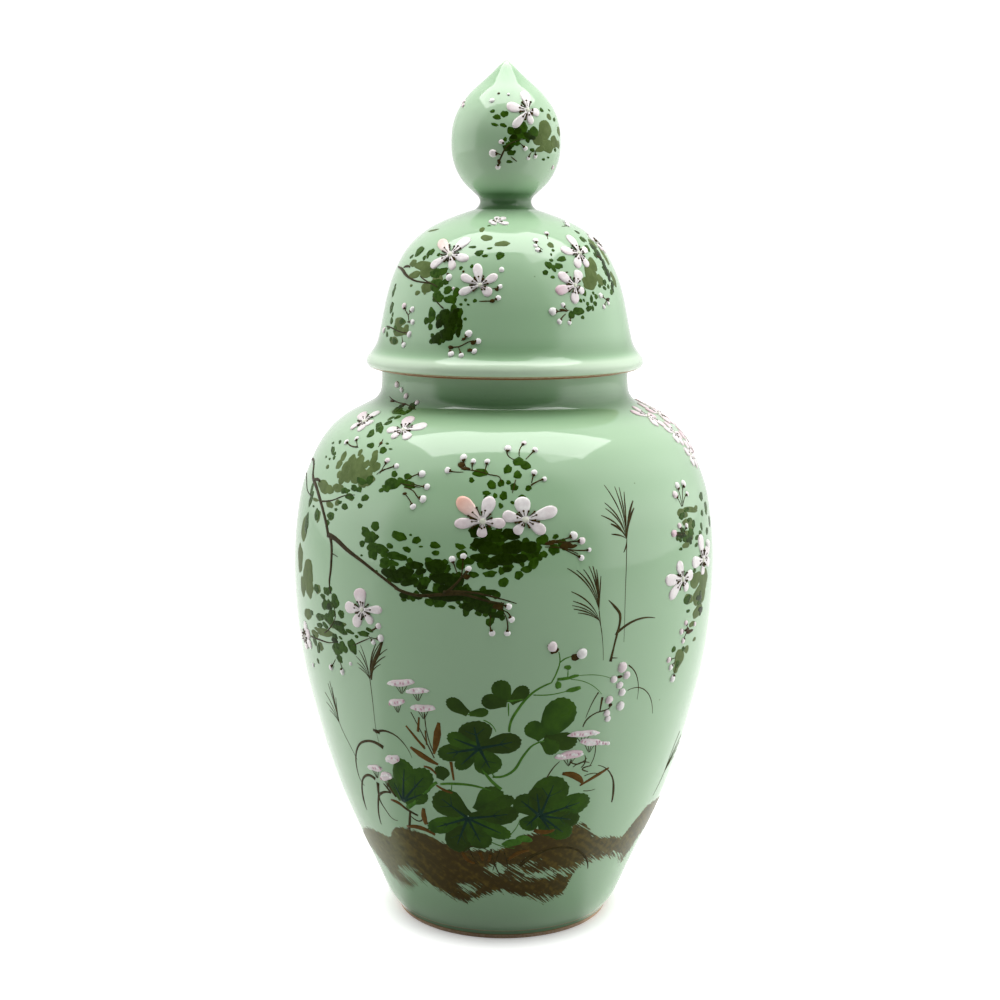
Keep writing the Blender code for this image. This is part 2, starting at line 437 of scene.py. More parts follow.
@dataclass
class Run:
    """A stretch of a turned piece's section: smooth within itself, creased where it meets the next."""

    points: np.ndarray
    normals: np.ndarray
    pool: np.ndarray
    bare: float = 0.0

    @staticmethod
    def straight(knots: Path, bare: float = 0.0) -> list["Run"]:
        """Flat runs through knots, each facing to the right of its direction of travel."""
        runs = []
        for a, b in zip(knots, knots[1:]):
            ends = np.array([a, b], float)
            way = (ends[1] - ends[0]) / np.linalg.norm(ends[1] - ends[0])
            normal = np.array([[way[1], -way[0]]] * 2)
            runs.append(Run(ends, normal, np.zeros(2), bare))
        return runs

    @staticmethod
    def fillet(centre: Place, radius: float, first: float, last: float, bare: float = 0.0) -> "Run":
        """A rounded corner about a centre, from one angle to another in degrees from straight outwards."""
        angles = np.radians(np.linspace(first, last, 6))
        normals = np.stack([np.cos(angles), np.sin(angles)], axis=1)
        return Run(np.array(centre) + normals * radius, normals, np.full(6, -0.6), bare)


@dataclass
class TurnedPiece:
    """A closed solid of revolution made from runs that follow one another round its section."""

    name: str
    runs: list[Run]
    segments: int = 256
    glaze_line: float = 0.0
    glaze_blur: float = 0.6

    def build(self, material: bpy.types.Material) -> bpy.types.Object:
        """Turns the section.

        Args:
            material: the finish of the whole piece.

        Returns:
            The piece, at rest in the frame.
        """
        rows = [(*row, run.bare) for run in self.runs for row in zip(run.points, run.normals, run.pool)]
        points: list[np.ndarray] = []
        pool: list[float] = []
        bare: list[float] = []
        index: list[int] = []
        for point, _, pool_and_shade_value, open_clay in rows:
            if points and np.linalg.norm(points[-1] - point) < 1e-4:
                bare[-1] = max(bare[-1], open_clay)
            else:
                points.append(point)
                pool.append(float(pool_and_shade_value))
                bare.append(open_clay)
            index.append(len(points) - 1)
        if np.linalg.norm(points[0] - points[-1]) < 1e-4:
            points.pop()
            index = [i % len(points) for i in index]
        angles = np.arange(self.segments) * math.tau / self.segments
        compass = np.stack([np.sin(angles), -np.cos(angles)], axis=1)

        first: list[int] = []
        verts: list[tuple[float, float, float]] = []
        owner: list[int] = []
        for i, (r, z) in enumerate(points):
            first.append(len(verts))
            around = compass if r > 1e-6 else compass[:1] * 0
            verts.extend((x * r * MM, y * r * MM, z * MM) for x, y in around)
            owner.extend([i] * len(around))

        def corner(i: int, k: int) -> int:
            """The vertex of section point i at segment k."""
            return first[i] + (k % self.segments if points[i][0] > 1e-6 else 0)

        on_axis = [point[0] < 1e-6 for point in points]
        faces: list[tuple[int, ...]] = []
        normals: list[tuple[float, float, float]] = []
        for j in range(len(rows)):
            k = (j + 1) % len(rows)
            a, b = index[j], index[k]
            if a == b or (on_axis[a] and on_axis[b]):
                continue
            na, nb = rows[j][1], rows[k][1]
            for s in range(self.segments):
                ring = [(a, s, na), (a, s + 1, na), (b, s + 1, nb), (b, s, nb)]
                if on_axis[a]:
                    ring = [ring[0], ring[2], ring[3]]
                elif on_axis[b]:
                    ring = ring[:3]
                faces.append(tuple(corner(i, t) for i, t, _ in ring))
                for i, t, n in ring:
                    x, y = compass[t % self.segments]
                    normals.append((x * n[0], y * n[0], n[1]))
        piece = new_piece(self.name, verts, faces, material)
        mesh = piece.data
        mesh.shade_smooth()
        mesh.normals_split_custom_set(normals)
        # How far the glaze pools at each point, with painted shade in the hollows; below 0 it thins.
        pool_and_shade_attribute = mesh.attributes.new("glaze_pool_and_shade", "FLOAT", "POINT")
        pool_and_shade_attribute.data.foreach_set("value", [pool[i] for i in owner])
        open_clay = mesh.attributes.new("bare_clay", "FLOAT", "POINT")
        values = []
        for i, (_, _, z) in zip(owner, verts):
            below = 0.5 + (self.glaze_line - z / MM) / self.glaze_blur if self.glaze_line else 0.0
            values.append(max(bare[i], min(1.0, max(0.0, below))))
        open_clay.data.foreach_set("value", values)
        return piece

    def mount(self, material: bpy.types.Material, body: str, node: str, slot: str) -> bpy.types.Object:
        """Turns the piece and sets it on its body in place of its CAD node.

        Args:
            material: the finish of the whole piece.
            body: the body that it rides on.
            node: the CAD node that it stands for.
            slot: the name of a material slot; not used.

        Returns:
            The piece.
        """
        made = self.build(material)
        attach(made, body)
        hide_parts(node)
        LOG.info("%s: %d faces", made.name, len(made.data.polygons))
        return made


# The brush
# ---------


STROKE_STEP = 2.0


@dataclass
class Marks:
    """All the marks of one enamel on one part of the pot."""

    points: list[np.ndarray] = field(default_factory=list)
    faces: list[tuple[int, ...]] = field(default_factory=list)
    tints: list[np.ndarray] = field(default_factory=list)
    count: int = 0

    def add(self, points: np.ndarray, faces: Faces, tints: np.ndarray, flip: bool) -> None:
        """Adds one closed mark."""
        start = self.count
        self.points.append(points)
        self.tints.append(tints)
        self.count += len(points)
        for face in faces:
            moved = tuple(i + start for i in face)
            self.faces.append(moved[::-1] if flip else moved)


def blob(east: float, north: float, lean: float, rng: random.Random, wobble: float = 0.07) -> np.ndarray:
    """The outline of a dab of the brush.

    Args:
        east: half its size across.
        north: half its size upwards, before it leans.
        lean: how far it is turned anticlockwise, in degrees.
        rng: where its unevenness comes from.
        wobble: how uneven it is, as a share of its size.

    Returns:
        Points round the outline, anticlockwise.
    """
    count = 12 if max(east, north) < 2.5 else 18
    angle = np.arange(count) * math.tau / count
    uneven = np.ones(count)
    for wave in (2, 3, 5):
        uneven += wobble * rng.uniform(0.3, 1.0) * np.sin(wave * angle + rng.uniform(0, math.tau))
    x, y = np.cos(angle) * east * uneven, np.sin(angle) * north * uneven
    turn = math.radians(lean)
    along, across = math.cos(turn), math.sin(turn)
    return np.stack([x * along - y * across, x * across + y * along], axis=1)


def drop(
    length: float,
    width: float,
    heading: float,
    base: float = 0.3,
    widest: float = 0.62,
    rng: Optional[random.Random] = None,
) -> np.ndarray:
    """The outline of a petal or a leaf that grows from the origin.

    Args:
        length: from its base to its tip.
        width: at its widest.
        heading: the way it points, in degrees anticlockwise from east.
        base: its width at the base, as a share of the widest.
        widest: where it is widest, as a share of the length.
        rng: where the waviness of its outer edge comes from; a smooth edge if None.

    Returns:
        Points round the outline, anticlockwise.
    """
    count = 8 if rng else 5
    rounded = np.sin(np.linspace(0.3, 1.57, count))
    t = np.concatenate([np.linspace(0, widest, 5), widest + (1 - widest) * rounded])
    rise = np.clip(t / widest, 0, 1)
    half = base + (1 - base) * rise * rise * (3 - 2 * rise)
    past = np.clip((t - widest) / (1 - widest), 0, 1)
    half = half * np.sqrt(np.clip(1 - past**2, 0, 1)) * width / 2
    lower = np.stack([t * length, -half], axis=1)
    upper = np.stack([t * length, half], axis=1)[-2::-1]
    outline = np.concatenate([lower, upper])
    if rng:
        swell = [0.025 * (-1) ** i * rng.uniform(0.1, 1.0) for i in range(len(outline))] * (
            outline[:, 0] > 0.5 * length
        )
        outline *= 1 + np.array(swell)[:, None]
    turn = math.radians(heading)
    spin = np.array([[math.cos(turn), math.sin(turn)], [-math.sin(turn), math.cos(turn)]])
    return outline @ spin


@dataclass
class Brush:
    """Paints closed marks on one turned surface and keeps them by enamel."""

    outline: Outline
    part: str
    body: str
    turn: float = 0.0
    mirrored: bool = False
    rng: random.Random = field(default_factory=lambda: random.Random(7))
    marks: dict[Enamel, Marks] = field(default_factory=dict)

    def face(self, turn: float, mirrored: bool) -> "Brush":
        """Turns the pot, so that the next marks go on another side of it."""
        self.turn, self.mirrored = turn, mirrored
        return self

    def lay(self, azimuth: np.ndarray, arc: np.ndarray, lift: np.ndarray) -> np.ndarray:
        """Points over the glaze, in metres.

        Args:
            azimuth: degrees round from the way the brush faces.
            arc: distances along the outline.
            lift: how far each point stands off the glaze; below 0 it is buried.

        Returns:
            One row for each point.
        """
        points, normals = self.outline.sample(arc)
        angle = np.radians(self.turn + (-azimuth if self.mirrored else azimuth))
        r = points[:, 0] + normals[:, 0] * lift
        z = points[:, 1] + normals[:, 1] * lift
        return np.stack([r * np.sin(angle), -r * np.cos(angle), z], axis=1) * MM

    def offset(self, start: Place, stop: Place) -> tuple[float, float]:
        """How far east and north of one place another is."""
        radius = (self.outline.radius_at(start[1]) + self.outline.radius_at(stop[1])) / 2
        north = self.outline.arc_at(stop[1]) - self.outline.arc_at(start[1])
        return math.radians(stop[0] - start[0]) * radius, north

    def spread(self, centre: Place, offsets: np.ndarray) -> tuple[np.ndarray, np.ndarray]:
        """The azimuths and the distances along the outline of points around a place."""
        arc = self.outline.arc_at(centre[1]) + offsets[:, 1]
        radius = np.interp(arc, self.outline.arc, self.outline.points[:, 0])
        return centre[0] + np.degrees(offsets[:, 0] / np.maximum(radius, 1.0)), arc

    def near(self, centre: Place, east: float, north: float) -> Place:
        """The place that lies this far east and north of another."""
        azimuth, arc = self.spread(centre, np.array([[east, north]]))
        return float(azimuth[0]), float(np.interp(arc[0], self.outline.arc, self.outline.points[:, 1]))

    def put(self, enamel: Enamel, points: np.ndarray, faces: Faces, tints: np.ndarray) -> None:
        """Keeps one closed mark."""
        self.marks.setdefault(enamel, Marks()).add(points, faces, tints, self.mirrored)

    def pad(
        self,
        enamel: Enamel,
        centre: Place,
        outline: np.ndarray,
        thick: float,
        tint: Tint = PLAIN,
        fade: Optional[np.ndarray] = None,
        rise: float = 0.0,
        domed: bool = False,
    ) -> None:
        """Lays a pad of enamel.

        Args:
            enamel: which enamel.
            centre: where the outline's origin goes.
            outline: east and north of each point round it, anticlockwise.
            thick: its height over the glaze, or over the rise.
            tint: its flush, ember and shade.
            fade: the share of the tint at each point of the outline; all of it if None.
            rise: how far its edge stands off the glaze, to lay it on other marks.
            domed: whether it rises like a bead, and not like a flat pad.
        """
        count = len(outline)
        flat = ((1.0, -0.12), (0.93, 0.62), (0.74, 0.94), (0.38, 1.0))
        steps = ((1.0, -0.12), (0.9, 0.45), (0.66, 0.8), (0.32, 0.97)) if domed else flat
        middle = outline.mean(axis=0)
        rows = [middle + (outline - middle) * k for k, _ in steps] + [middle[None], middle[None]]
        lifts = [np.full(count, rise + (h * thick if h > 0 else h)) for _, h in steps]
        lifts += [np.array([rise + thick]), np.array([min(rise, 0.0) - 0.4])]
        azimuth, arc = self.spread(centre, np.concatenate(rows))
        top, under = count * len(steps), count * len(steps) + 1
        faces: list[tuple[int, ...]] = []
        for i in range(count):
            j = (i + 1) % count
            for ring in range(len(steps) - 1):
                a, b = ring * count, (ring + 1) * count
                faces.append((a + i, a + j, b + j, b + i))
            last = (len(steps) - 1) * count
            faces.append((last + i, last + j, top))
            faces.append((j, i, under))
        share = np.ones(count) if fade is None else fade
        mean = share.mean()
        shares = np.concatenate([mean + (share - mean) * k for k, _ in steps] + [[mean, mean]])
        tints = np.clip(shares[:, None] * np.array(tint), 0, 1)
        self.put(enamel, self.lay(azimuth, arc, np.concatenate(lifts)), faces, tints)

    def stroke(
        self,
        enamel: Enamel,
        path: Path,
        widths: Sequence[float],
        thick: float,
        rise: float = 0.0,
    ) -> None:
        """Draws a stroke that swells and tapers.

        Args:
            enamel: which enamel.
            path: the places that it passes through.
            widths: its widths, spaced evenly along it.
            thick: its height at its widest.
            rise: how far it stands off the glaze.
        """
        radius = float(np.mean([self.outline.radius_at(z) for _, z in path]))
        knots = [(math.radians(a) * radius, self.outline.arc_at(z)) for a, z in path]
        line = smooth_curve(knots, STROKE_STEP)
        gaps = np.linalg.norm(np.diff(line, axis=0), axis=1)
        along = np.concatenate([[0.0], np.cumsum(gaps)]) / gaps.sum()
        way = np.gradient(line, axis=0)
        way /= np.linalg.norm(way, axis=1)[:, None] + 1e-9
        side = np.stack([-way[:, 1], way[:, 0]], axis=1)
        width = np.interp(along, np.linspace(0, 1, len(widths)), widths)
        tall = thick * np.clip(width / (0.6 * max(widths)), 0.35, 1.0)
        section = [(1.0, None), (0.0, 1.0), (-1.0, None)]
        if max(widths) > 1.3:
            section[1:2] = [(0.78, 0.75), (0.3, 1.0), (-0.3, 1.0), (-0.78, 0.75)]
        rows, lifts = [], []
        for across, height in section:
            rows.append(line + side * (width * across / 2)[:, None])
            lifts.append(np.full(len(line), rise - 0.08) if height is None else rise + tall * height)
        rows.append(line)
        lifts.append(np.full(len(line), min(rise, 0.0) - 0.35))
        points = np.concatenate(rows)
        arc = points[:, 1]
        local = np.interp(arc, self.outline.arc, self.outline.points[:, 0])
        base = np.tile(line[:, 0], len(rows))
        azimuth = np.degrees(base / radius + (points[:, 0] - base) / np.maximum(local, 1.0))
        n, m = len(line), len(rows)
        faces: list[tuple[int, ...]] = []
        for r in range(m):
            q = (r + 1) % m
            for i in range(n - 1):
                faces.append((r * n + i, q * n + i, q * n + i + 1, r * n + i + 1))
        faces.append(tuple(r * n for r in range(m))[::-1])
        faces.append(tuple(r * n + n - 1 for r in range(m)))
        self.put(enamel, self.lay(azimuth, arc, np.concatenate(lifts)), faces, np.zeros((n * m, 3)))

    def dabs(
        self,
        enamel: Enamel,
        spots: Spots,
        thick: float,
        shade: float = 0.0,
        wobble: float = 0.09,
    ) -> None:
        """Dabs leaves on.

        Args:
            enamel: which enamel.
            spots: azimuth, height, half size across in degrees, half size upwards in millimetres,
                and perhaps the lean in degrees.
            thick: the usual height over the glaze.
            shade: the usual share of the shade colour.
            wobble: how uneven the outlines are.
        """
        for spot in spots:
            azimuth, height, across, up = spot[:4]
            lean = spot[4] if len(spot) > 4 else self.rng.uniform(-14, 14)
            east = math.radians(across) * self.outline.radius_at(height)
            tint = (0.0, 0.0, max(0.0, shade + self.rng.uniform(-0.12, 0.12)))
            outline = blob(east, up, lean, self.rng, wobble)
            self.pad(enamel, (azimuth, height), outline, thick * self.rng.uniform(0.8, 1.2), tint)

    def bud(self, place: Place, radius: float, blush: float = 0.0) -> None:
        """Sets a bead of white slip."""
        outline = blob(radius, radius * self.rng.uniform(0.86, 1.0), self.rng.uniform(0, 90), self.rng, 0.04)
        self.pad(Enamel.PETAL, place, outline, radius * 0.55, (blush, 0.0, 0.0), domed=True)

    def build(self, materials: dict[Enamel, bpy.types.Material]) -> None:
        """Makes one piece of each enamel's marks, riding on the brush's body."""
        for enamel, marks in self.marks.items():
            name = f"{self.part}_{enamel.name.lower()}"
            piece = new_piece(name, np.concatenate(marks.points).tolist(), marks.faces, materials[enamel])
            piece.data.shade_smooth()
            tint = piece.data.attributes.new("tint", "FLOAT_COLOR", "POINT")
            flat = np.concatenate(marks.tints)
            tint.data.foreach_set("color", np.concatenate([flat, np.ones((len(flat), 1))], axis=1).ravel())
            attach(piece, self.body)
            LOG.info("%s: %d faces", piece.name, len(piece.data.polygons))


# Motifs
# ------


@dataclass
class Blossom:
    """An open flower of piled white slip, with umber stamens on its petals.

    Each petal is the azimuth and height of its tip, then perhaps its width in millimetres, its
    flush and its ember.
    """

    centre: Place
    petals: Spots
    stamens: int = 3
    petal_height: float = 0.6

    def paint(self, brush: Brush) -> None:
        """Paints the petals, then the stamens, then the heart."""
        reach = 0.0
        for petal in self.petals:
            east, north = brush.offset(self.centre, (petal[0], petal[1]))
            length, heading = math.hypot(east, north), math.degrees(math.atan2(north, east))
            width = petal[2] if len(petal) > 2 and petal[2] else max(2.8, 0.44 * length)
            flush = petal[3] if len(petal) > 3 else brush.rng.uniform(0.05, 0.25)
            ember = petal[4] if len(petal) > 4 else 0.0
            narrow, widest = brush.rng.uniform(0.24, 0.34), brush.rng.uniform(0.66, 0.76)
            outline = drop(length, width, heading, narrow, widest)
            fade = np.linalg.norm(outline, axis=1) / length
            height = self.petal_height * brush.rng.uniform(0.85, 1.15)
            brush.pad(Enamel.PETAL, self.centre, outline, height, (flush, ember, 0.0), fade)
            reach = max(reach, length)
            for k in range(self.stamens):
                swing = heading + (k - (self.stamens - 1) / 2) * 26 + brush.rng.uniform(-6, 6)
                self.stamen(brush, swing, length * 0.17, length * brush.rng.uniform(0.34, 0.44))
        middle = blob(reach * 0.1, reach * 0.09, 0, brush.rng)
        brush.pad(Enamel.HEART, self.centre, middle, 0.35, rise=self.petal_height * 0.8, domed=True)

    def stamen(self, brush: Brush, heading: float, start: float, stop: float) -> None:
        """Draws one stamen with its dot, from one distance to another along a heading."""
        way = np.array([math.cos(math.radians(heading)), math.sin(math.radians(heading))])
        path = [brush.near(self.centre, *(way * far)) for far in (start, stop)]
        brush.stroke(Enamel.STAMEN, path, (0.3, 0.5), 0.14, rise=self.petal_height * 0.95)
        dot = blob(0.5, 0.42, 0, brush.rng)
        brush.pad(Enamel.STAMEN, path[-1], dot, 0.22, rise=self.petal_height * 0.95)


@dataclass
class Sprig:
    """A bud on its stalk: the stalk's places from its foot, and last the middle of the bud."""

    radius: float
    path: Path
    blush: float = 0.0

    def paint(self, brush: Brush) -> None:
        """Paints the stalk, the bud and its calyx."""
        foot, place = self.path[-2], self.path[-1]
        brush.stroke(Enamel.STAMEN, self.path, (0.55, 0.75, 0.95), 0.2)
        brush.bud(place, self.radius, self.blush)
        east, north = brush.offset(place, foot)
        length = math.hypot(east, north) or 1.0
        share = self.radius * 0.75 / length
        heading = math.degrees(math.atan2(north, east))
        outline = blob(self.radius * 0.42, self.radius * 0.5, heading, brush.rng)
        calyx = brush.near(place, east * share, north * share)
        brush.pad(Enamel.STAMEN, calyx, outline, 0.2, rise=self.radius * 0.32)


@dataclass
class Bough:
    """A blossoming bough, from its bark to its buds."""

    bark: Sequence[tuple[Path, Sequence[float]]] = ()
    twigs: Sequence[Path] = ()
    washes: Spots = ()
    leaves: Spots = ()
    dense: Spots = ()
    blossoms: Sequence[Row] = ()
    sprigs: Sequence[Row] = ()
    buds: Spots = ()
    knots: Spots = ()

    def paint(self, brush: Brush) -> None:
        """Paints the whole bough on the side that the brush faces."""
        brush.dabs(Enamel.WASH, self.washes, 0.04)
        brush.dabs(Enamel.LEAF, self.leaves, 0.08, 0.05, 0.12)
        brush.dabs(Enamel.LEAF, self.dense, 0.1, 0.75, 0.12)
        brush.dabs(Enamel.LEAF, self.fringe(brush), 0.07, 0.3, 0.14)
        brush.dabs(Enamel.STAMEN, self.knots, 0.26)
        for path, widths in self.bark:
            brush.stroke(Enamel.BARK, path, widths, 0.27)
        for path in self.twigs:
            brush.stroke(Enamel.STAMEN, path, (0.4, 0.8, 0.7, 0.35), 0.27)
        for row in self.blossoms:
            Blossom(*row).paint(brush)
        for row in self.sprigs:
            Sprig(*row).paint(brush)
        for azimuth, height, radius, *blush in self.buds:
            brush.bud((azimuth, height), radius, blush[0] if blush else 0.0)

    def fringe(self, brush: Brush) -> Spots:
        """Small leaves that break up the edges of the dense masses."""
        spots = []
        for azimuth, height, across, up, *_ in self.dense:
            radius = brush.outline.radius_at(height)
            for _ in range(3):
                way = brush.rng.uniform(0, math.tau)
                size = brush.rng.uniform(1.0, 1.9)
                spots.append((
                    azimuth + across * math.cos(way) * 0.95,
                    height + up * math.sin(way) * 1.05,
                    math.degrees(size / radius),
                    size * brush.rng.uniform(0.8, 1.2),
                ))
        return spots


@dataclass
class Plume:
    """A head of grass seed: a thin stem and a fan of blades that thicken towards their tips."""

    stem: Path
    tips: Path
    weight: float = 0.9

    def paint(self, brush: Brush) -> None:
        """Paints the stem from the ground to the fan, then the blades."""
        base = self.stem[-1]
        brush.stroke(Enamel.GRASS, self.stem, (0.35, 0.5, 0.75), 0.12)
        for azimuth, height in self.tips:
            bend = (base[0] + 0.36 * (azimuth - base[0]), base[1] + 0.58 * (height - base[1]))
            thin, full = 0.4 * self.weight, 1.4 * self.weight * brush.rng.uniform(0.8, 1.1)
            widths = (thin, full * 0.6, full, full * 0.5)
            brush.stroke(Enamel.GRASS, (base, bend, (azimuth, height)), widths, 0.14)


@dataclass
class Umbel:
    """A flat head of tiny florets: slip, with pink dashes in it and a dark crown under it."""

    place: Place
    across: float
    up: float
    lean: float = 0.0
    flush: float = 0.3
    crown: bool = True

    def paint(self, brush: Brush) -> None:
        """Paints the head, its dashes and its crown."""
        east = math.radians(self.across) * brush.outline.radius_at(self.place[1])
        outline = blob(east, self.up, self.lean, brush.rng, 0.1)
        brush.pad(Enamel.PETAL, self.place, outline, 0.45, (self.flush, 0, 0))
        count = max(4, round(east * 1.3))
        slope = math.tan(math.radians(self.lean))
        for k in range(count):
            x = east * (1.5 * k / (count - 1) - 0.75)
            y = x * slope + brush.rng.uniform(-0.3, 0.3) * self.up
            spot = brush.near(self.place, x, y)
            deep = brush.rng.random() < 0.55
            mark = blob(0.45 if deep else 0.9, 0.75, brush.rng.uniform(-30, 30), brush.rng)
            tint = (0.9 if deep else 0.0, 0, 0.12 * deep)
            brush.pad(Enamel.PETAL, spot, mark, 0.2, tint, rise=0.4, domed=True)
        if self.crown:
            for swing in (-34, -12, 10, 32):
                foot = (self.place[0] + 0.2 * swing / 30, self.place[1] - self.up - 3.2)
                tip = (self.place[0] + self.across * 0.4 * swing / 30, self.place[1] - self.up * 0.6)
                brush.stroke(Enamel.GRASS, (foot, tip), (0.35, 0.6, 0.35), 0.16)


@dataclass
class VineLeaf:
    """A broad leaf of lobes that all grow from one place and run together.

    Each lobe is the azimuth and height of its tip and its width in millimetres.
    """

    base: Place
    lobes: Spots
    veined: bool = True
    height: float = 0.1

    def paint(self, brush: Brush) -> None:
        """Paints the lobes, then a soft blue-green vein up the middle of each."""
        for azimuth, height, width in self.lobes:
            east, north = brush.offset(self.base, (azimuth, height))
            length, heading = math.hypot(east, north), math.degrees(math.atan2(north, east))
            outline = drop(length * 1.04, width * 1.12, heading, 0.5, 0.62, brush.rng)
            thick = self.height * brush.rng.uniform(0.8, 1.2)
            brush.pad(Enamel.VINE, self.base, outline, thick, (brush.rng.uniform(0, 0.8), 0.0, 0.0))
        for azimuth, height, width in self.lobes if self.veined else ():
            tip, fork = (
                (self.base[0] + k * (azimuth - self.base[0]), self.base[1] + k * (height - self.base[1]))
                for k in (0.8, 0.5)
            )
            brush.stroke(Enamel.VEIN, (self.base, tip), (1.7, 1.3, 0.9, 0.4), 0.03, rise=self.height * 1.1)
            east, north = brush.offset(self.base, (azimuth, height))
            for side in (-1, 1) if width > 8 else ():
                off = side * width * 0.3 / math.hypot(east, north)
                end = brush.near(fork, east * 0.2 - north * off, north * 0.2 + east * off)
                brush.stroke(Enamel.VEIN, (fork, end), (0.9, 0.4), 0.03, rise=self.height * 1.1)


@dataclass
class Meadow:
    """Everything that grows from the bank apart from the bough: grasses, dry leaves and the vine."""

    plumes: Sequence[Row] = ()
    blades: Sequence[tuple[Path, Sequence[float]]] = ()
    umbels: Sequence[Row] = ()
    russet: Sequence[tuple[Path, Sequence[float]]] = ()
    leaves: Sequence[Row] = ()
    tendrils: Sequence[tuple[Path, float]] = ()
    small_leaves: Spots = ()
    buds: Spots = ()
    knots: Spots = ()

    def paint(self, brush: Brush) -> None:
        """Paints the meadow on the side that the brush faces."""
        for path, widths in self.blades:
            brush.stroke(Enamel.GRASS, path, [1.25 * width for width in widths], 0.14)
        for path, widths in self.russet:
            brush.stroke(Enamel.RUSSET, path, widths, 0.16)
        for path, width in self.tendrils:
            brush.stroke(Enamel.TENDRIL, path, (width * 1.1, width * 1.3, width * 1.1, width * 0.7), 0.1)
        brush.dabs(Enamel.TENDRIL, self.small_leaves, 0.2)
        brush.dabs(Enamel.STAMEN, self.knots, 0.26)
        for motif, rows in ((Plume, self.plumes), (VineLeaf, self.leaves), (Umbel, self.umbels)):
            for row in rows:
                motif(*row).paint(brush)
        for azimuth, height, radius, *blush in self.buds:
            brush.bud((azimuth, height), radius, blush[0] if blush else 0.0)


@dataclass
class Bank:
    """The brown bank round the foot, dry-brushed on the glaze of the bowl.

    The crest and the toe are its edges. Each gap is an ellipse of bare glaze. The other lists give
    how dry the brush was along the crest and the toe, and how thin the brown is, by azimuth.
    """

    crest: Path
    toe: Path
    gaps: Spots
    crest_dryness: Path
    toe_dryness: Path
    thinness: Path
    reach: float = 12.0

    def read(self, line: Path, azimuth: np.ndarray) -> np.ndarray:
        """One of the lists at some azimuths."""
        return np.interp(azimuth, [a for a, _ in line], [v for _, v in line])

    def dress(self, shells: Sequence[bpy.types.Object], outline: Outline) -> None:
        """Writes the bank on the outer face of the jar, front and back.

        Args:
            shells: the jar's shells; each gets the colour attribute soil.
            outline: the jar's outer outline.
        """
        for shell in shells:
            mesh = shell.data
            place = np.empty(len(mesh.vertices) * 3)
            mesh.vertices.foreach_get("co", place)
            x, y, z = place.reshape(-1, 3).T / MM
            azimuth = np.degrees(np.arctan2(x, -y))
            azimuth = np.where(np.abs(azimuth) > 90, 180 * np.sign(azimuth) - azimuth, azimuth)
            crest, toe = self.read(self.crest, azimuth), self.read(self.toe, azimuth)
            inside = np.minimum(crest - z, z - toe)
            for middle, height, across, up in self.gaps:
                off = np.hypot((azimuth - middle) / across, (z - height) / up)
                inside = np.minimum(inside, (off - 1) * min(up, across * 1.3))
            share = np.clip((z - toe) / np.maximum(crest - toe, 1), 0, 1)
            high, low = self.read(self.crest_dryness, azimuth), self.read(self.toe_dryness, azimuth)
            dry = low + (high - low) * share**1.5
            outer = np.hypot(x, y) > np.interp(z, outline.points[:, 1], outline.points[:, 0]) - 1.5
            held = np.stack([
                np.clip(0.5 + inside / self.reach, 0, 1) * outer,
                np.clip(dry, 0, 1),
                self.read(self.thinness, azimuth),
                np.ones(len(z)),
            ], axis=1)
            soil = mesh.attributes.new("soil", "FLOAT_COLOR", "POINT")
            soil.data.foreach_set("color", held.ravel())


# The painting, as (azimuth, height) places
# -----------------------------------------

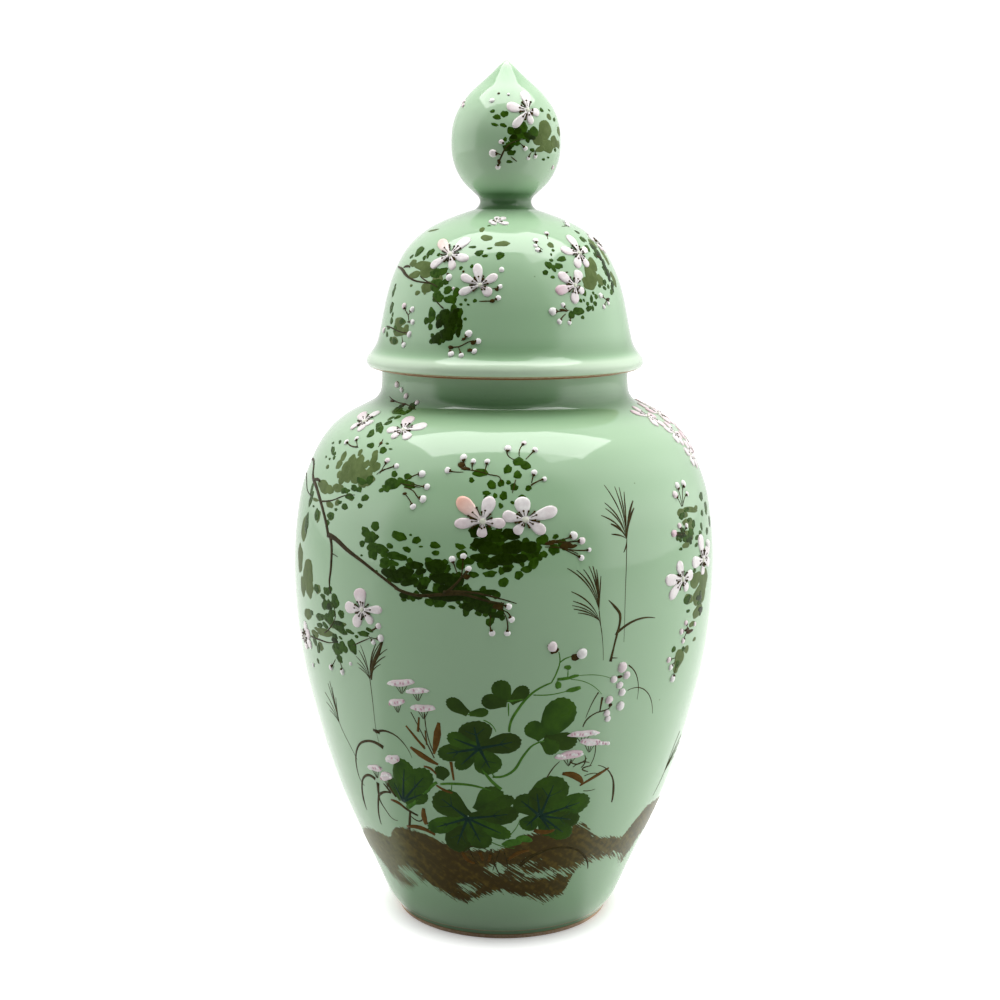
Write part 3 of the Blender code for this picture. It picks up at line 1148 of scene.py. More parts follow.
LEFT_BOUGH = Bough(
    bark=[
        ([
            (-82, 218.5), (-75, 218), (-70, 213), (-64, 209.5), (-59, 204.5), (-55, 198), (-52.5, 191),
        ], (1.4, 1.8, 2.2, 2, 2)),
        ([
            (-53, 191.5), (-49, 190.5), (-44, 187), (-38, 183), (-32, 178), (-27, 173.5),
        ], (2.6, 2.4, 1.7, 1.4, 1.5)),
        ([
            (-28, 174), (-22, 171.8), (-15, 173), (-10, 173.5), (-4, 171), (0, 170),
        ], (1.5, 1.6, 1.6, 1.3, 0.7)),
        ([(-15, 173), (-12, 177.5), (-9, 184)], (1.6, 1.2, 0.7)),
        ([(-69, 212), (-66, 212.8), (-63, 212.6)], (0.8, 1.8, 1.2)),
        ([(-82, 212), (-76, 210), (-71, 206.5), (-66, 205.5)], (0.8, 1.1, 0.9, 0.5)),
        ([(-59, 204.7), (-53, 206.5), (-48, 209.5), (-44, 210.5)], (1.2, 0.9, 0.8, 0.4)),
        ([(-51.5, 190.5), (-50.5, 187), (-50.2, 178), (-50.8, 170), (-50, 166)], (2, 1.7, 1.6, 1.2, 0.7)),
        ([(-50.2, 184), (-47.5, 183)], (0.8, 0.3)),
    ],
    twigs=[
        [(-64, 249), (-55, 247.5), (-47, 247), (-40, 245.5)], [(-41.5, 234), (-41.3, 232.5), (-41.5, 230.8)],
        [(-50, 229.5), (-54, 229.5), (-57, 230.3)], [(-38, 220), (-36.5, 222), (-34.5, 223), (-32.5, 224)],
        [(-29.5, 217.5), (-26, 217), (-23, 216.5)],
    ],
    washes=[
        (-55, 225, 1.5, 2.6, 12), (-55.5, 221.5, 1.6, 2.6, 8), (-51.5, 220, 2.2, 4.2, -14),
        (-50, 224, 2, 3.2, -20), (-48, 221.5, 1.9, 3.6, -8), (-46.5, 224.5, 2, 3, -20),
        (-45, 221.5, 1.9, 3.4, -10), (-43, 219, 1.8, 3, -12), (-41, 220.5, 1.5, 3.4, -6),
        (-41, 225.5, 1.5, 3.2, -8), (-39, 223, 1.5, 2.6, -12), (-40.5, 216.5, 1.8, 1.8),
        (-42.5, 215.5, 1.8, 2, -20), (-46, 217, 2, 2.4, -14), (-49, 217, 2, 2.6, -14),
        (-51.5, 216, 1.8, 2.8, -10), (-43.2, 223.5, 1.2, 2.4, -14), (-53.5, 217.5, 1.3, 2, 10),
        (-41.5, 228, 1.2, 2.3), (-59, 198, 1.3, 3), (-52.5, 199.5, 1.4, 2), (-50.5, 206, 1.3, 1.5),
        (-45, 209, 1.2, 1.3), (-43, 217, 4, 2.5), (-47, 219.5, 3, 3), (-40.5, 218, 2.5, 2.5),
        (-62, 211.5, 2.5, 1.8), (-59.5, 211, 4, 2.8), (-56, 210.5, 2.5, 2.2), (-52, 212, 3, 2),
        (-54, 204.5, 2.2, 1.6), (-68, 190, 3, 6), (-63, 171, 4, 7), (-62, 165, 3, 5), (-48, 227.7, 1, 2),
        (-70, 176, 3, 7), (-67, 164, 2.5, 5), (-61.7, 219.2, 1.1, 1.2), (-62.5, 204.5, 2.5, 0.8),
    ],
    leaves=[
        (-48, 235, 1.2, 1.8), (-46.8, 237.6, 1.4, 2.2), (-45.8, 240, 1.6, 2.2), (-44.8, 242.2, 1.5, 2),
        (-43, 244.5, 1.5, 2), (-47.3, 241.5, 1.2, 2), (-47.5, 244, 5.5, 2, -6), (-47.5, 238, 4.2, 2, -38),
        (-49, 235.5, 1.4, 2.6, 24), (-45, 231, 1.8, 1.5), (-39, 229.8, 1.5, 1.9), (-38.7, 232.5, 0.8, 0.6),
        (-36.4, 230.6, 0.7, 0.5), (-62, 230, 1.3, 0.9), (-66.5, 228.8, 1.1, 0.7), (-63.5, 226.2, 2, 1.5, -30),
        (-61, 225, 1.3, 1), (-60, 223.5, 1, 1), (-65.7, 222.8, 0.8, 0.6), (-62.5, 222.5, 0.8, 0.7),
        (-48.5, 211.5, 2, 1.5), (-45, 213.3, 1.5, 1.6), (-43, 213, 1.2, 1.5), (-40, 210, 1.5, 1.6),
        (-41.2, 206.5, 1.1, 1.2), (-46, 209.5, 2, 1.5), (-47, 205, 1.5, 1.5), (-49.5, 206.3, 1.2, 0.8),
        (-50.5, 203, 0.8, 0.7), (-52.5, 199.8, 1.9, 1.8), (-53.5, 196.5, 1, 1.5), (-60, 198.5, 1.6, 3),
        (-63, 201.5, 0.8, 0.6), (-66, 204, 1.4, 4), (-66.5, 193, 1.7, 5), (-43, 216.5, 2.6, 1.4),
        (-40, 217.5, 1.6, 2), (-67.5, 208, 1.2, 3), (-32, 221, 1.2, 1.5), (-32, 217, 3, 2.7),
        (-27.5, 220.5, 1.5, 1.4), (-27, 217.5, 2.8, 1.7), (-35, 214, 0.9, 1.2), (-29.5, 218.5, 1.4, 1.6),
        (-33.5, 215, 1.6, 1.6), (-35, 199, 1.6, 2), (-38, 196, 1.6, 2.4), (-36, 194, 2.4, 2.6),
        (-38.8, 190.8, 1.1, 1.5), (-33.5, 190, 3.2, 2.4), (-35, 187, 1.7, 2.4), (-28, 187.5, 3.2, 2),
        (-31, 184, 2.2, 2.3), (-27.5, 196, 2.2, 2.3), (-22.5, 195, 1.3, 1.7), (-24.2, 197, 0.5, 0.5),
        (-21.2, 192.5, 0.6, 0.5), (-25, 190.8, 1.3, 1.3), (-33.7, 180, 0.6, 0.6), (-38.7, 185.8, 0.5, 0.5),
        (-36, 189.5, 1.3, 1.6), (-30, 191.5, 1.2, 1.2), (-28.5, 184.5, 1.6, 1.2), (-31.5, 187.5, 1.2, 1.6),
    ],
    dense=[
        (-22.5, 184.5, 2.2, 2), (-26, 180.5, 3.6, 2.8), (-30, 180, 2.2, 2.3), (-24, 177.5, 2.7, 2.2),
        (-21, 182, 1.5, 1.5), (-28, 177.5, 1.8, 1.5), (-25.5, 171, 1.4, 1.4), (-22, 171, 1.2, 1.2),
        (-50, 246, 2, 1.4), (-43, 246, 2.3, 1.5),
    ],
    blossoms=[
        ((-58.5, 239), [
            (-53.5, 238.8, 5), (-70, 241.3, 5.5, 0.5), (-62.5, 235.6, 4.5, 0.3), (-60, 243.2, 6),
            (-55, 235.5, 4.5),
        ]),
        ((-36, 238), [
            (-39, 243, 6.5, 0.45), (-28.5, 240.5, 6, 0.1), (-43, 237.5, 4.5, 0.2), (-38.5, 234.6, 4),
            (-31.5, 235, 4.5),
        ]),
    ],
    sprigs=[
        (1.7, [(-28, 218.5), (-25.5, 221.2), (-23.3, 222)]),
        (1.5, [(-26, 218), (-23.5, 217.2), (-21.2, 217)]),
        (1.8, [(-28, 216), (-25, 215), (-23.3, 212.5), (-21.8, 212)]),
        (1.5, [(-27.3, 213.5), (-25.8, 211.5), (-24.3, 208.7)]),
        (1.4, [(-37, 220.5), (-36.5, 223), (-35.8, 226)], 0.3),
        (1.4, [(-37, 221), (-34.5, 223.2), (-32, 224.3)]),
        (1.5, [(-51, 229.8), (-54, 229.6), (-57.8, 230.6)]),
        (1.4, [(-50.5, 229.6), (-52, 231), (-53.5, 232.6)]),
    ],
    buds=[(-57.5, 255, 1.7, 0.3), (-49.5, 250.5, 1.6, 0.3), (-53.5, 253, 1.3), (-41.5, 248.3, 1.3, 0.3)],
    knots=[(-59, 247.6, 2, 0.8), (-49, 247, 1.6, 0.7), (-27.4, 213.6, 0.7, 0.6), (-41.3, 232.4, 0.6, 1)],
)

FRONT_BOUGH = Bough(
    bark=[([(-15, 174), (-8, 174.5), (-2, 172.5), (3, 170)], (1.6, 1.2, 0.8, 0.4))],
    twigs=[
        [(-13, 226), (-11, 224.7), (-8, 224.2), (-4, 222.8), (-1.5, 222), (-0.8, 219)],
        [(9.8, 220.5), (7.5, 219), (6.5, 217.5)], [(3, 221), (2.4, 218), (2, 215.5)],
        [(-10.5, 180), (-10.3, 184), (-10, 187)], [(10, 195), (14, 195.5), (17, 195)],
        [(10, 193.5), (15, 192.5), (18.5, 190)],
    ],
    leaves=[
        (-17.5, 193.5, 1.4, 1.7), (-17.2, 190.3, 1.1, 1.2), (-19, 187, 1.1, 1.5), (-19.8, 178, 1.6, 2.4),
        (-18.5, 169.3, 1.4, 1.9), (-15.8, 169, 1.7, 1.9), (-12.8, 167.8, 1, 0.9), (-11, 193.5, 1.4, 1.4),
        (-10.5, 190, 1.5, 2.1), (-10.8, 186, 1.3, 2.3), (-9, 187.5, 1.6, 1.9), (-3.5, 182.5, 1.8, 1.5),
        (-0.2, 179, 1.3, 2.3), (9.5, 196.5, 1.6, 2.5), (9.7, 190.5, 1.1, 1.6), (12.8, 197.7, 0.9, 1.1),
        (12.3, 192.5, 1.4, 2.8), (14.5, 194.5, 1.2, 2.6), (7.2, 187, 1.2, 3.2, -20), (5.5, 184.5, 1.7, 1.5),
        (3.5, 182, 1.2, 1.9), (-3.5, 162, 1, 2.1), (-20.5, 182.5, 1, 1.2), (-7.5, 182, 1.4, 1.4),
        (-6.7, 223.5, 2.2, 2.1), (-9, 220.5, 0.8, 1.3), (-3.5, 218.8, 1.3, 2.2), (-1, 219.5, 0.9, 1.9),
        (1, 219.8, 0.8, 1), (-0.3, 214.5, 1.1, 2.1), (2.5, 218, 1.1, 1.9), (3.5, 222.8, 1.3, 1.9),
        (0.8, 225, 1.2, 2.3), (3.8, 228, 1.6, 2.3), (5.8, 226.5, 1.6, 2.3), (6.3, 217.5, 0.9, 1.4),
        (-1, 210.5, 0.7, 1.3), (2, 211.8, 0.6, 0.8), (4.5, 213.8, 1.1, 1.4), (-4.8, 215.5, 1.3, 1),
        (-2.5, 214.5, 0.7, 1.2), (-4.6, 213.5, 1, 1.3),
    ],
    dense=[
        (-17, 184.5, 3.2, 3.4), (-15.5, 180, 3.2, 3.2), (-12.5, 178.5, 3, 3), (-18, 172.5, 3, 1.9),
        (-13, 172.5, 3.8, 2.7), (-8.8, 168.5, 1.7, 2.3), (-6, 170.5, 2.8, 2.6), (-5, 167.5, 2.4, 2.1),
        (-8, 173, 2.8, 2.6), (-4, 174.5, 2.6, 1.5), (-6.5, 200, 2.6, 2.7), (-2.5, 198, 3.2, 3.2),
        (1.5, 199, 2.6, 2.4), (-3.5, 193, 3.5, 3.1), (2, 193.5, 3.4, 3.2), (-0.5, 188.5, 3.6, 2.7),
        (4, 189, 2.3, 2.3), (6, 193.5, 2.6, 2.7), (7.5, 190.5, 1.3, 2), (-6, 189, 2.2, 2.4),
        (-6.5, 195, 2, 2.4), (-20.5, 176, 1.6, 2.2), (-10.5, 174.5, 2.2, 2.2), (-2.5, 169, 1.9, 1.6),
        (-2, 165, 2.2, 1.4), (-3.5, 186, 2, 1.7), (-14.5, 175.5, 2.6, 2), (0.5, 184.5, 1.4, 1.6),
    ],
    blossoms=[
        ((-5.5, 204), [
            (-12.3, 213.3, 6.8, 0.1, 0.75), (-3.5, 214.3, 6), (-12.8, 202.7, 4.8, 0.4),
            (0.3, 203.3, 4.6, 0.35), (-5.7, 197.4, 4.6, 0.3),
        ]),
        ((5.2, 204.8), [
            (-0.6, 206.8, 5.2), (4.3, 214.2, 7), (13.6, 208.8, 5.6), (2.6, 199, 4.4, 0.2), (10.3, 199.4, 5),
        ]),
    ],
    sprigs=[
        (1.8, [(-10.5, 225), (-11.5, 226.8), (-12, 229.2)]), (1.4, [(-9, 224.5), (-9.2, 226), (-9, 227.8)]),
        (1.4, [(-5.5, 223.5), (-5.3, 225.5), (-5, 227.9)]), (1.5, [(-11.5, 223.6), (-14, 223.5), (-16, 224)]),
        (1.7, [(3, 228.5), (0.8, 230.5), (0.9, 233)]), (1.3, [(4.2, 230), (4.4, 232.5), (5.9, 235)], 0.2),
        (1.4, [(6, 228.8), (7.6, 230.8), (9, 232.4)]), (1.5, [(7.2, 219.5), (7.6, 221.5), (8.1, 223.6)]),
        (1.2, [(7, 218.8), (9, 220.2), (10.8, 221)]), (1.9, [(11, 196), (14.5, 196.3), (17.5, 197.8)]),
        (1.7, [(12, 195), (16, 195.2), (19.6, 195.4)], 0.25), (1.1, [(12, 194), (17, 191.8), (21.5, 191.4)]),
        (1.4, [(14, 193), (17.5, 190), (19.3, 188.3)]), (1.5, [(-4, 170), (-1.2, 169.6), (1.1, 168.8)]),
        (1.5, [(-1.5, 167.5), (0.8, 166.2), (1.8, 163.2)]), (1.5, [(0, 166), (0.8, 162), (0.8, 157.2)]),
        (1.5, [(-3.2, 165), (-3.4, 160.5), (-2.9, 157.2)]),
        (1.6, [(-11.5, 182), (-12.2, 185), (-12.9, 188.1)]),
        (1.5, [(-10.4, 183), (-10.3, 186.5), (-10.1, 189.5)]),
        (1.5, [(-9.6, 181), (-9.2, 182.5), (-8.8, 184.4)]),
    ],
    knots=[
        (-12.3, 226.4, 1.1, 1.5, -20), (-11, 225, 1.5, 0.8), (-9.2, 181, 0.9, 1.3), (11.5, 195.2, 1.6, 1),
        (15.5, 193.8, 1.8, 1.4), (-1.5, 168.6, 1.4, 1.3), (17.3, 193.3, 1.1, 0.8),
    ],
)

RIGHT_BOUGH = Bough(
    washes=[
        (55, 201, 2.8, 2.5), (60, 201.5, 4.5, 1.5), (63.5, 201.5, 1.5, 1.2), (56, 197, 2, 1.5),
        (59, 195, 2, 3), (57, 190.5, 2.7, 3), (55, 187, 2, 1.5), (60, 170, 3.6, 4), (56, 162.5, 2.8, 2.5),
        (63, 162, 5, 5), (62, 155, 3.6, 3), (53.5, 136, 2.6, 5, -20), (57, 139, 1.5, 2),
        (52.5, 131.5, 1.4, 2.5), (66, 168, 4, 5), (59, 150, 2, 1.5), (61.5, 142, 1.3, 1),
    ],
    leaves=[
        (54.5, 200, 1.8, 1.6), (57.5, 202, 1.6, 1), (60.5, 195, 1.2, 2), (58, 197.5, 1.3, 1),
        (55, 190, 2, 1.7), (58.5, 192, 1.8, 1.8), (62, 188.5, 1.6, 1.2), (66, 192.5, 1, 2),
        (52.3, 186, 1, 0.7), (61, 185.5, 1.2, 1), (55.3, 162.5, 2.1, 2.3), (56, 157, 1.1, 0.9),
        (50.2, 141.3, 1.2, 1.4), (55.2, 139.8, 1.1, 1.3), (53, 133.5, 1.3, 1.8), (64.5, 190, 1.3, 1.2),
        (59.2, 174.5, 1, 1.4), (63, 158.5, 1.6, 1.2), (70, 205, 2, 2.2), (73, 199, 2, 3), (76, 192, 1.8, 2.6),
        (68, 198, 1.3, 1.6), (71, 189, 1.5, 1.8),
    ],
    dense=[(53, 192, 2.5, 1.7), (57, 189, 2, 1.4), (62.5, 161, 2, 1.6), (64, 155, 1.5, 1.5)],
    blossoms=[
        ((52.5, 172.6), [
            (45, 174, 5.6), (50.8, 181, 5.6), (58, 173.5, 5.2), (46.7, 165.3, 5.2), (55, 166.8, 4.4),
        ]),
        ((65, 177.5), [(57.6, 178.3, 5.6), (63.8, 189.5, 7), (72, 183, 6), (64.5, 170.8, 5), (71, 174.5, 5)]),
        ((67, 240.5), [
            (61, 243.5, 4.5, 0.6), (63.5, 237, 4.5, 0.2), (70.5, 235.5, 5, 0.5), (74, 240.5, 5, 0.7),
            (69, 244.8, 4.5, 0.5),
        ], 1),
        ((72, 233), [
            (67.5, 235.8, 4.5, 0.2), (68, 229.5, 5, 0.1), (73, 227.3, 5, 0.3), (77.5, 230.5, 5, 0.5),
            (75.5, 237.3, 5, 0.6),
        ], 1),
        ((74.5, 223), [
            (70.5, 225.5, 4.5, 0.2), (72, 218.3, 5, 0.1), (77.5, 216.5, 5, 0.3), (80, 222.5, 5, 0.5),
            (77.5, 228.5, 5, 0.4),
        ], 1),
        ((82, 240), [
            (77, 242.5, 5, 0.7), (78.5, 236, 5, 0.5), (85, 235, 5, 0.6), (88, 240.5, 5.5, 0.4),
            (82, 245, 5, 0.6),
        ], 1),
        ((84, 228.5), [
            (79.5, 231.5, 5, 0.6), (80, 225, 5, 0.3), (85, 221.5, 5, 0.5), (89, 227, 5, 0.3),
            (86, 234, 4.6, 0.6),
        ], 1),
    ],
    sprigs=[
        (1.9, [(55, 204), (54.3, 207), (53, 209.6)], 0.3), (1.8, [(55.3, 204), (55.6, 209), (55.4, 213)]),
        (1.9, [(55.8, 204.3), (57.3, 209.5), (59.2, 213)]), (1.3, [(55.6, 204), (57.5, 207), (59.6, 208.6)]),
        (1.5, [(54, 191.5), (53.2, 194), (52.5, 196.2)], 0.3),
        (1.4, [(54.5, 192), (55.2, 193.5), (56, 195.3)]),
        (1.9, [(53.5, 192), (51.5, 192.6), (49.6, 193.5)], 0.6),
        (1.5, [(56.5, 148.8), (54.8, 148.6), (53, 148.6)], 0.3),
        (1.4, [(56.5, 148.8), (55.8, 150.5), (55, 152)], 0.4),
        (1.4, [(56.5, 148.6), (55.4, 146), (54.3, 143.9)], 0.2),
        (1.5, [(51.5, 137), (50, 137), (48.3, 137.1)], 0.3), (1.5, [(52, 135), (51, 134.6), (49.6, 133.2)]),
        (1.9, [(52.5, 132.5), (52, 130), (51.3, 127.3)]),
    ],
    buds=[(69.5, 183.5, 2.4), (60.5, 149.5, 1.2, 0.3)],
    knots=[(56.2, 148.4, 1.2, 0.9), (57.7, 147, 2, 1), (61, 178.6, 0.9, 0.6), (63.2, 185.2, 1, 0.7)],
)

LOW_BOUGH = Bough(
    bark=[
        ([(-63, 142), (-57, 142.5), (-52, 143), (-49, 144.5)], (1.2, 1.2, 0.9, 0.5)),
        ([(-54, 147), (-51, 150.5), (-48.5, 156), (-49.5, 162)], (0.8, 1, 0.8, 0.5)),
    ],
    twigs=[[(-36, 153), (-34.5, 154.5), (-33.5, 155.5)], [(-42, 145), (-38.5, 148), (-36, 150)]],
    washes=[
        (-57, 166, 2, 2.5), (-54, 147, 5, 2), (-58.5, 147, 1.5, 1), (-48, 152.5, 4, 2), (-60, 144, 2.5, 2.2),
        (-64, 152, 3, 3), (-57, 139.5, 1.6, 2.2),
    ],
    leaves=[
        (-52, 166.5, 1.8, 2.1), (-48.5, 163, 2, 3.3), (-53, 160, 1.8, 2.8), (-50, 157, 1.8, 1.9),
        (-46, 158, 1.4, 2), (-61, 153.7, 1.2, 1.2), (-56, 153.5, 2.6, 1.9), (-51.5, 154, 2.6, 2.7),
        (-47, 151, 3.4, 1.9), (-43, 151, 1.8, 1), (-38, 151.5, 2.3, 1.3), (-36, 153.7, 1.3, 1),
        (-48.5, 141.5, 2.6, 3.2), (-46, 143, 1.8, 2.8), (-42.3, 144.5, 1.7, 3.7, 12), (-60.5, 141, 1.3, 2.8),
        (-58.5, 138, 1.1, 2.7), (-48, 137, 1.5, 1.9), (-60, 131.5, 0.8, 1.5), (-40.5, 149.5, 0.8, 0.8),
        (-46.8, 147, 0.8, 0.8), (-54, 163.5, 1.3, 1.5), (-57.5, 166, 1.7, 2), (-50.5, 168, 1.2, 1.3),
        (-56.5, 149.5, 2, 1.2), (-53.5, 150.5, 1.6, 1.4),
    ],
    dense=[(-51, 160, 1.5, 1.8), (-47.5, 153.5, 1.9, 1.3), (-49.5, 145, 1.6, 1.4)],
    blossoms=[
        ((-38, 162.2), [
            (-39.2, 171.5, 7.5, 0.4), (-44.3, 162, 5.5, 0.3), (-41, 154, 5.4, 0.3), (-34.8, 156.8, 4),
            (-31.7, 163.7, 3.8),
        ]),
        ((-68, 140), [
            (-63.5, 143.5, 5, 0.3), (-73, 139, 5.5), (-67.5, 134, 5), (-66, 147.5, 5.5), (-63, 137, 4.5),
        ]),
    ],
    sprigs=[
        (1.5, [(-35, 153.5), (-34, 154.8), (-33, 156.2)], 0.2),
        (1.8, [(-35.5, 150.5), (-34, 150.3), (-32.4, 151)]),
        (1.3, [(-36.5, 151), (-35.6, 150), (-34.8, 148.6)]), (1.6, [(-50, 136), (-51, 134), (-52.5, 131.5)]),
        (1.6, [(-48, 136), (-47.5, 133.5), (-47.3, 131.2)]),
    ],
    buds=[(-43.5, 136.2, 1), (-64, 128, 1.2)],
)

